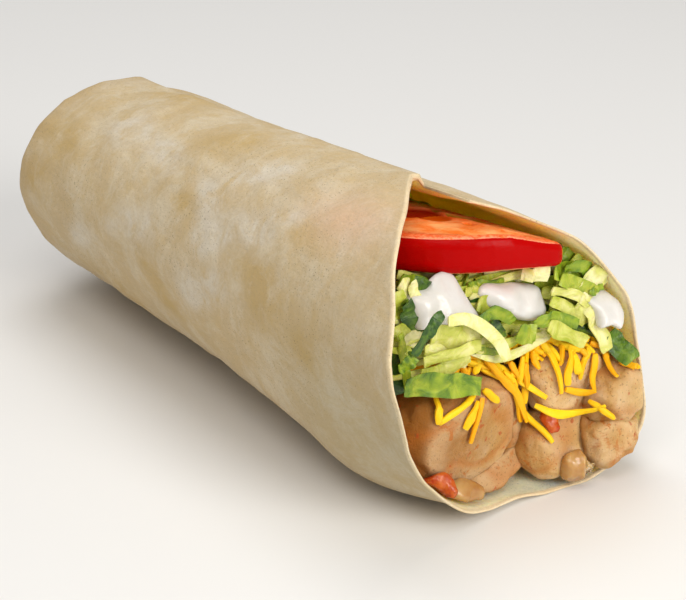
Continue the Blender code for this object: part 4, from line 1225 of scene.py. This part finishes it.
# Each pad: its side, how far in its foot and its head lie, how thick it is, and its outline
# (across, up), in millimetres.
PADS = (
    (
        "left",
        (2.2, 7.4),
        2.8,
        ((-8.7, 50.3), (-6.9, 49.5), (-6.2, 47.5), (-5.5, 45.6), (-4.6, 43.4), (-3.3, 41.2))
        + ((-3.4, 40.3), (-5.0, 40.4), (-7.2, 41.3), (-10.0, 41.6), (-12.9, 41.0), (-14.9, 40.8))
        + ((-16.8, 42.0), (-18.5, 41.2), (-19.1, 41.4), (-17.8, 43.5), (-18.2, 45.4), (-18.6, 47.4))
        + ((-17.6, 48.4), (-16.4, 48.1), (-14.5, 48.2), (-12.6, 49.3), (-10.7, 50.1)),
    ),
    (
        "middle",
        (2.8, 5.6),
        2.6,
        ((0.3, 46.4), (3.2, 45.6), (6.2, 45.3), (9.7, 44.4), (12.8, 43.2), (12.9, 41.6))
        + ((13.5, 39.5), (13.7, 38.2), (11.9, 37.4), (9.2, 37.3), (6.4, 38.0), (4.2, 39.2))
        + ((2.4, 40.2), (2.0, 41.0), (0.0, 41.7), (-1.8, 43.0), (-2.3, 44.7), (-1.4, 46.2)),
    ),
    (
        "right",
        (-2.2, 2.6),
        2.4,
        ((22.5, 40.7), (25.1, 40.6), (27.9, 39.7), (30.1, 37.7), (30.4, 35.7), (29.4, 33.9))
        + ((28.2, 32.4), (26.6, 33.7), (23.3, 33.6), (23.6, 35.4), (22.8, 37.5), (21.7, 39.3)),
    ),
)
PAD_AROUND, PAD_RINGS = 96, 30


def pad_reach(outline, middle, angle):
    """How far a pad's outline lies from its middle, in this direction."""
    way, reach = heading(angle), 0.0
    for first, last in zip(outline, outline[1:] + outline[:1]):
        first, last = Vector(first) - middle, Vector(last) - middle
        side = last - first
        turned = way.x * side.y - way.y * side.x
        if abs(turned) < 1e-9:
            continue
        far = (first.x * side.y - first.y * side.x) / turned
        share = (first.x * way.y - first.y * way.x) / turned
        if far > 0 and -0.001 <= share <= 1.001:
            reach = max(reach, far)
    return reach


finish, tree, shader, place = new_finish(
    "soured cream",
    Roughness=0.30,
    Coat_Weight=0.1,
    Subsurface_Weight=0.25,
    Subsurface_Radius=(0.003, 0.0026, 0.0022),
    Subsurface_Scale=0.5,
)
runny = mottle(tree, place, 150, 0.4, 0.7, 3, 0.5)
colour = tinted(tree, (0.66, 0.64, 0.61), runny, 0.5, (0.58, 0.56, 0.50))
surface(tree, shader, colour, mottle(tree, place, 420, 0.3, 0.7, 3), 0.00008, 0.5)

for pad, (foot, head), thick, outline in PADS:
    node = "sour_cream_" + pad
    corners = np.array(outline)
    middle = Vector((corners.min(0) + corners.max(0)) / 2)
    low, high = corners[:, 1].min(), corners[:, 1].max()
    turns = range(PAD_AROUND)
    reaches = np.array([pad_reach(outline, middle, math.tau * i / PAD_AROUND) for i in turns])
    for _ in range(2):
        reaches = (np.roll(reaches, 1) + 2 * reaches + np.roll(reaches, -1)) / 4
    bpy.ops.object.select_all(action="DESELECT")
    bpy.ops.mesh.primitive_uv_sphere_add(segments=PAD_AROUND, ring_count=PAD_RINGS, radius=1)
    dollop = bpy.context.object
    dollop.name = "soured_cream_" + pad
    for vertex in dollop.data.vertices:
        level, turn = globe_place(vertex.co, PAD_AROUND)
        out = 1 - abs(2 * level - 1) ** 1.6
        spot = middle + heading(math.tau * turn / PAD_AROUND) * reaches[turn] * out
        lump = noise.noise(Vector((spot.x * 0.16, spot.y * 0.16, 3.0)))
        crown = (1 - out**3.2) ** 0.5 * (1 + 0.55 * lump)
        share = (spot.y - low) / (high - low)
        inward = 1 - crown if vertex.co.z > 0 else 1 + 0.3 * crown
        run = between(foot, head, share) + thick * inward
        run -= 0.5 * noise.noise(Vector((spot.x * 0.35, spot.y * 0.35, 8.0))) * (1 - out**4)
        vertex.co = Vector((spot.x, run, spot.y)) / 1000 + Vector((AXIS_X, MOUTH_Y, 0))
    ease(dollop, 2)
    tidy_surface(dollop)
    dollop.data.materials.append(finish)
    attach(dollop, "root")
    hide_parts(node)

# ---------------------------------------------------------------- onion and diced tomato
# Two soft, glassy pieces of cooked onion and two bits of tomato from the stock, tucked in low
# among the chicken.

onion_finish, tree, shader, place = new_finish(
    "cooked onion",
    Roughness=0.22,
    Subsurface_Weight=0.5,
    Subsurface_Radius=(0.006, 0.004, 0.0015),
    Subsurface_Scale=0.7,
    Transmission_Weight=0.35,
)
glassy = mottle(tree, place, 190, 0.35, 0.65, 3, 0.5)
colour = blended(tree, glassy, (0.50, 0.22, 0.05), (0.70, 0.42, 0.15))
surface(tree, shader, colour, glassy, 0.0002, 0.5)

dice_finish, tree, shader, place = new_finish(
    "diced tomato",
    Roughness=0.22,
    Subsurface_Weight=0.3,
    Subsurface_Radius=(0.005, 0.0012, 0.0006),
    Subsurface_Scale=0.5,
)
pulp = mottle(tree, place, 420, 0.35, 0.65, 4)
colour = blended(tree, pulp, (0.36, 0.022, 0.003), (0.56, 0.13, 0.012))
surface(tree, shader, colour, pulp, 0.0002, 0.7)

# Each bit: its node, its piece's name, its finish, how far it is swollen, and how high its
# corners stand.
BITS = (
    ("onion_far", "cooked_onion_far", onion_finish, -0.0004, 0.0016),
    ("onion_near", "cooked_onion_near", onion_finish, -0.0003, 0.0014),
    ("tomato_dice_near", "diced_tomato_near", dice_finish, 0.0002, 0.0004),
    ("tomato_dice_middle", "diced_tomato_middle", dice_finish, -0.0002, 0.0002),
)
BIT_MESH = 0.0002
for node, name, material, grow, corner in BITS:
    bit = fresh_copy(node, name, BIT_MESH)
    ease(bit, 6)
    for vertex, out in points_and_normals(bit):
        corners = ridged(vertex.co * 170 + Vector((grow * 9000, 4, 1)))
        vertex.co += out * (grow + corner * corners + 0.0002 * noise.noise(vertex.co * 520))
    tidy_surface(bit)
    bit.data.materials.append(material)
    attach(bit, "root")
    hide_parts(node)
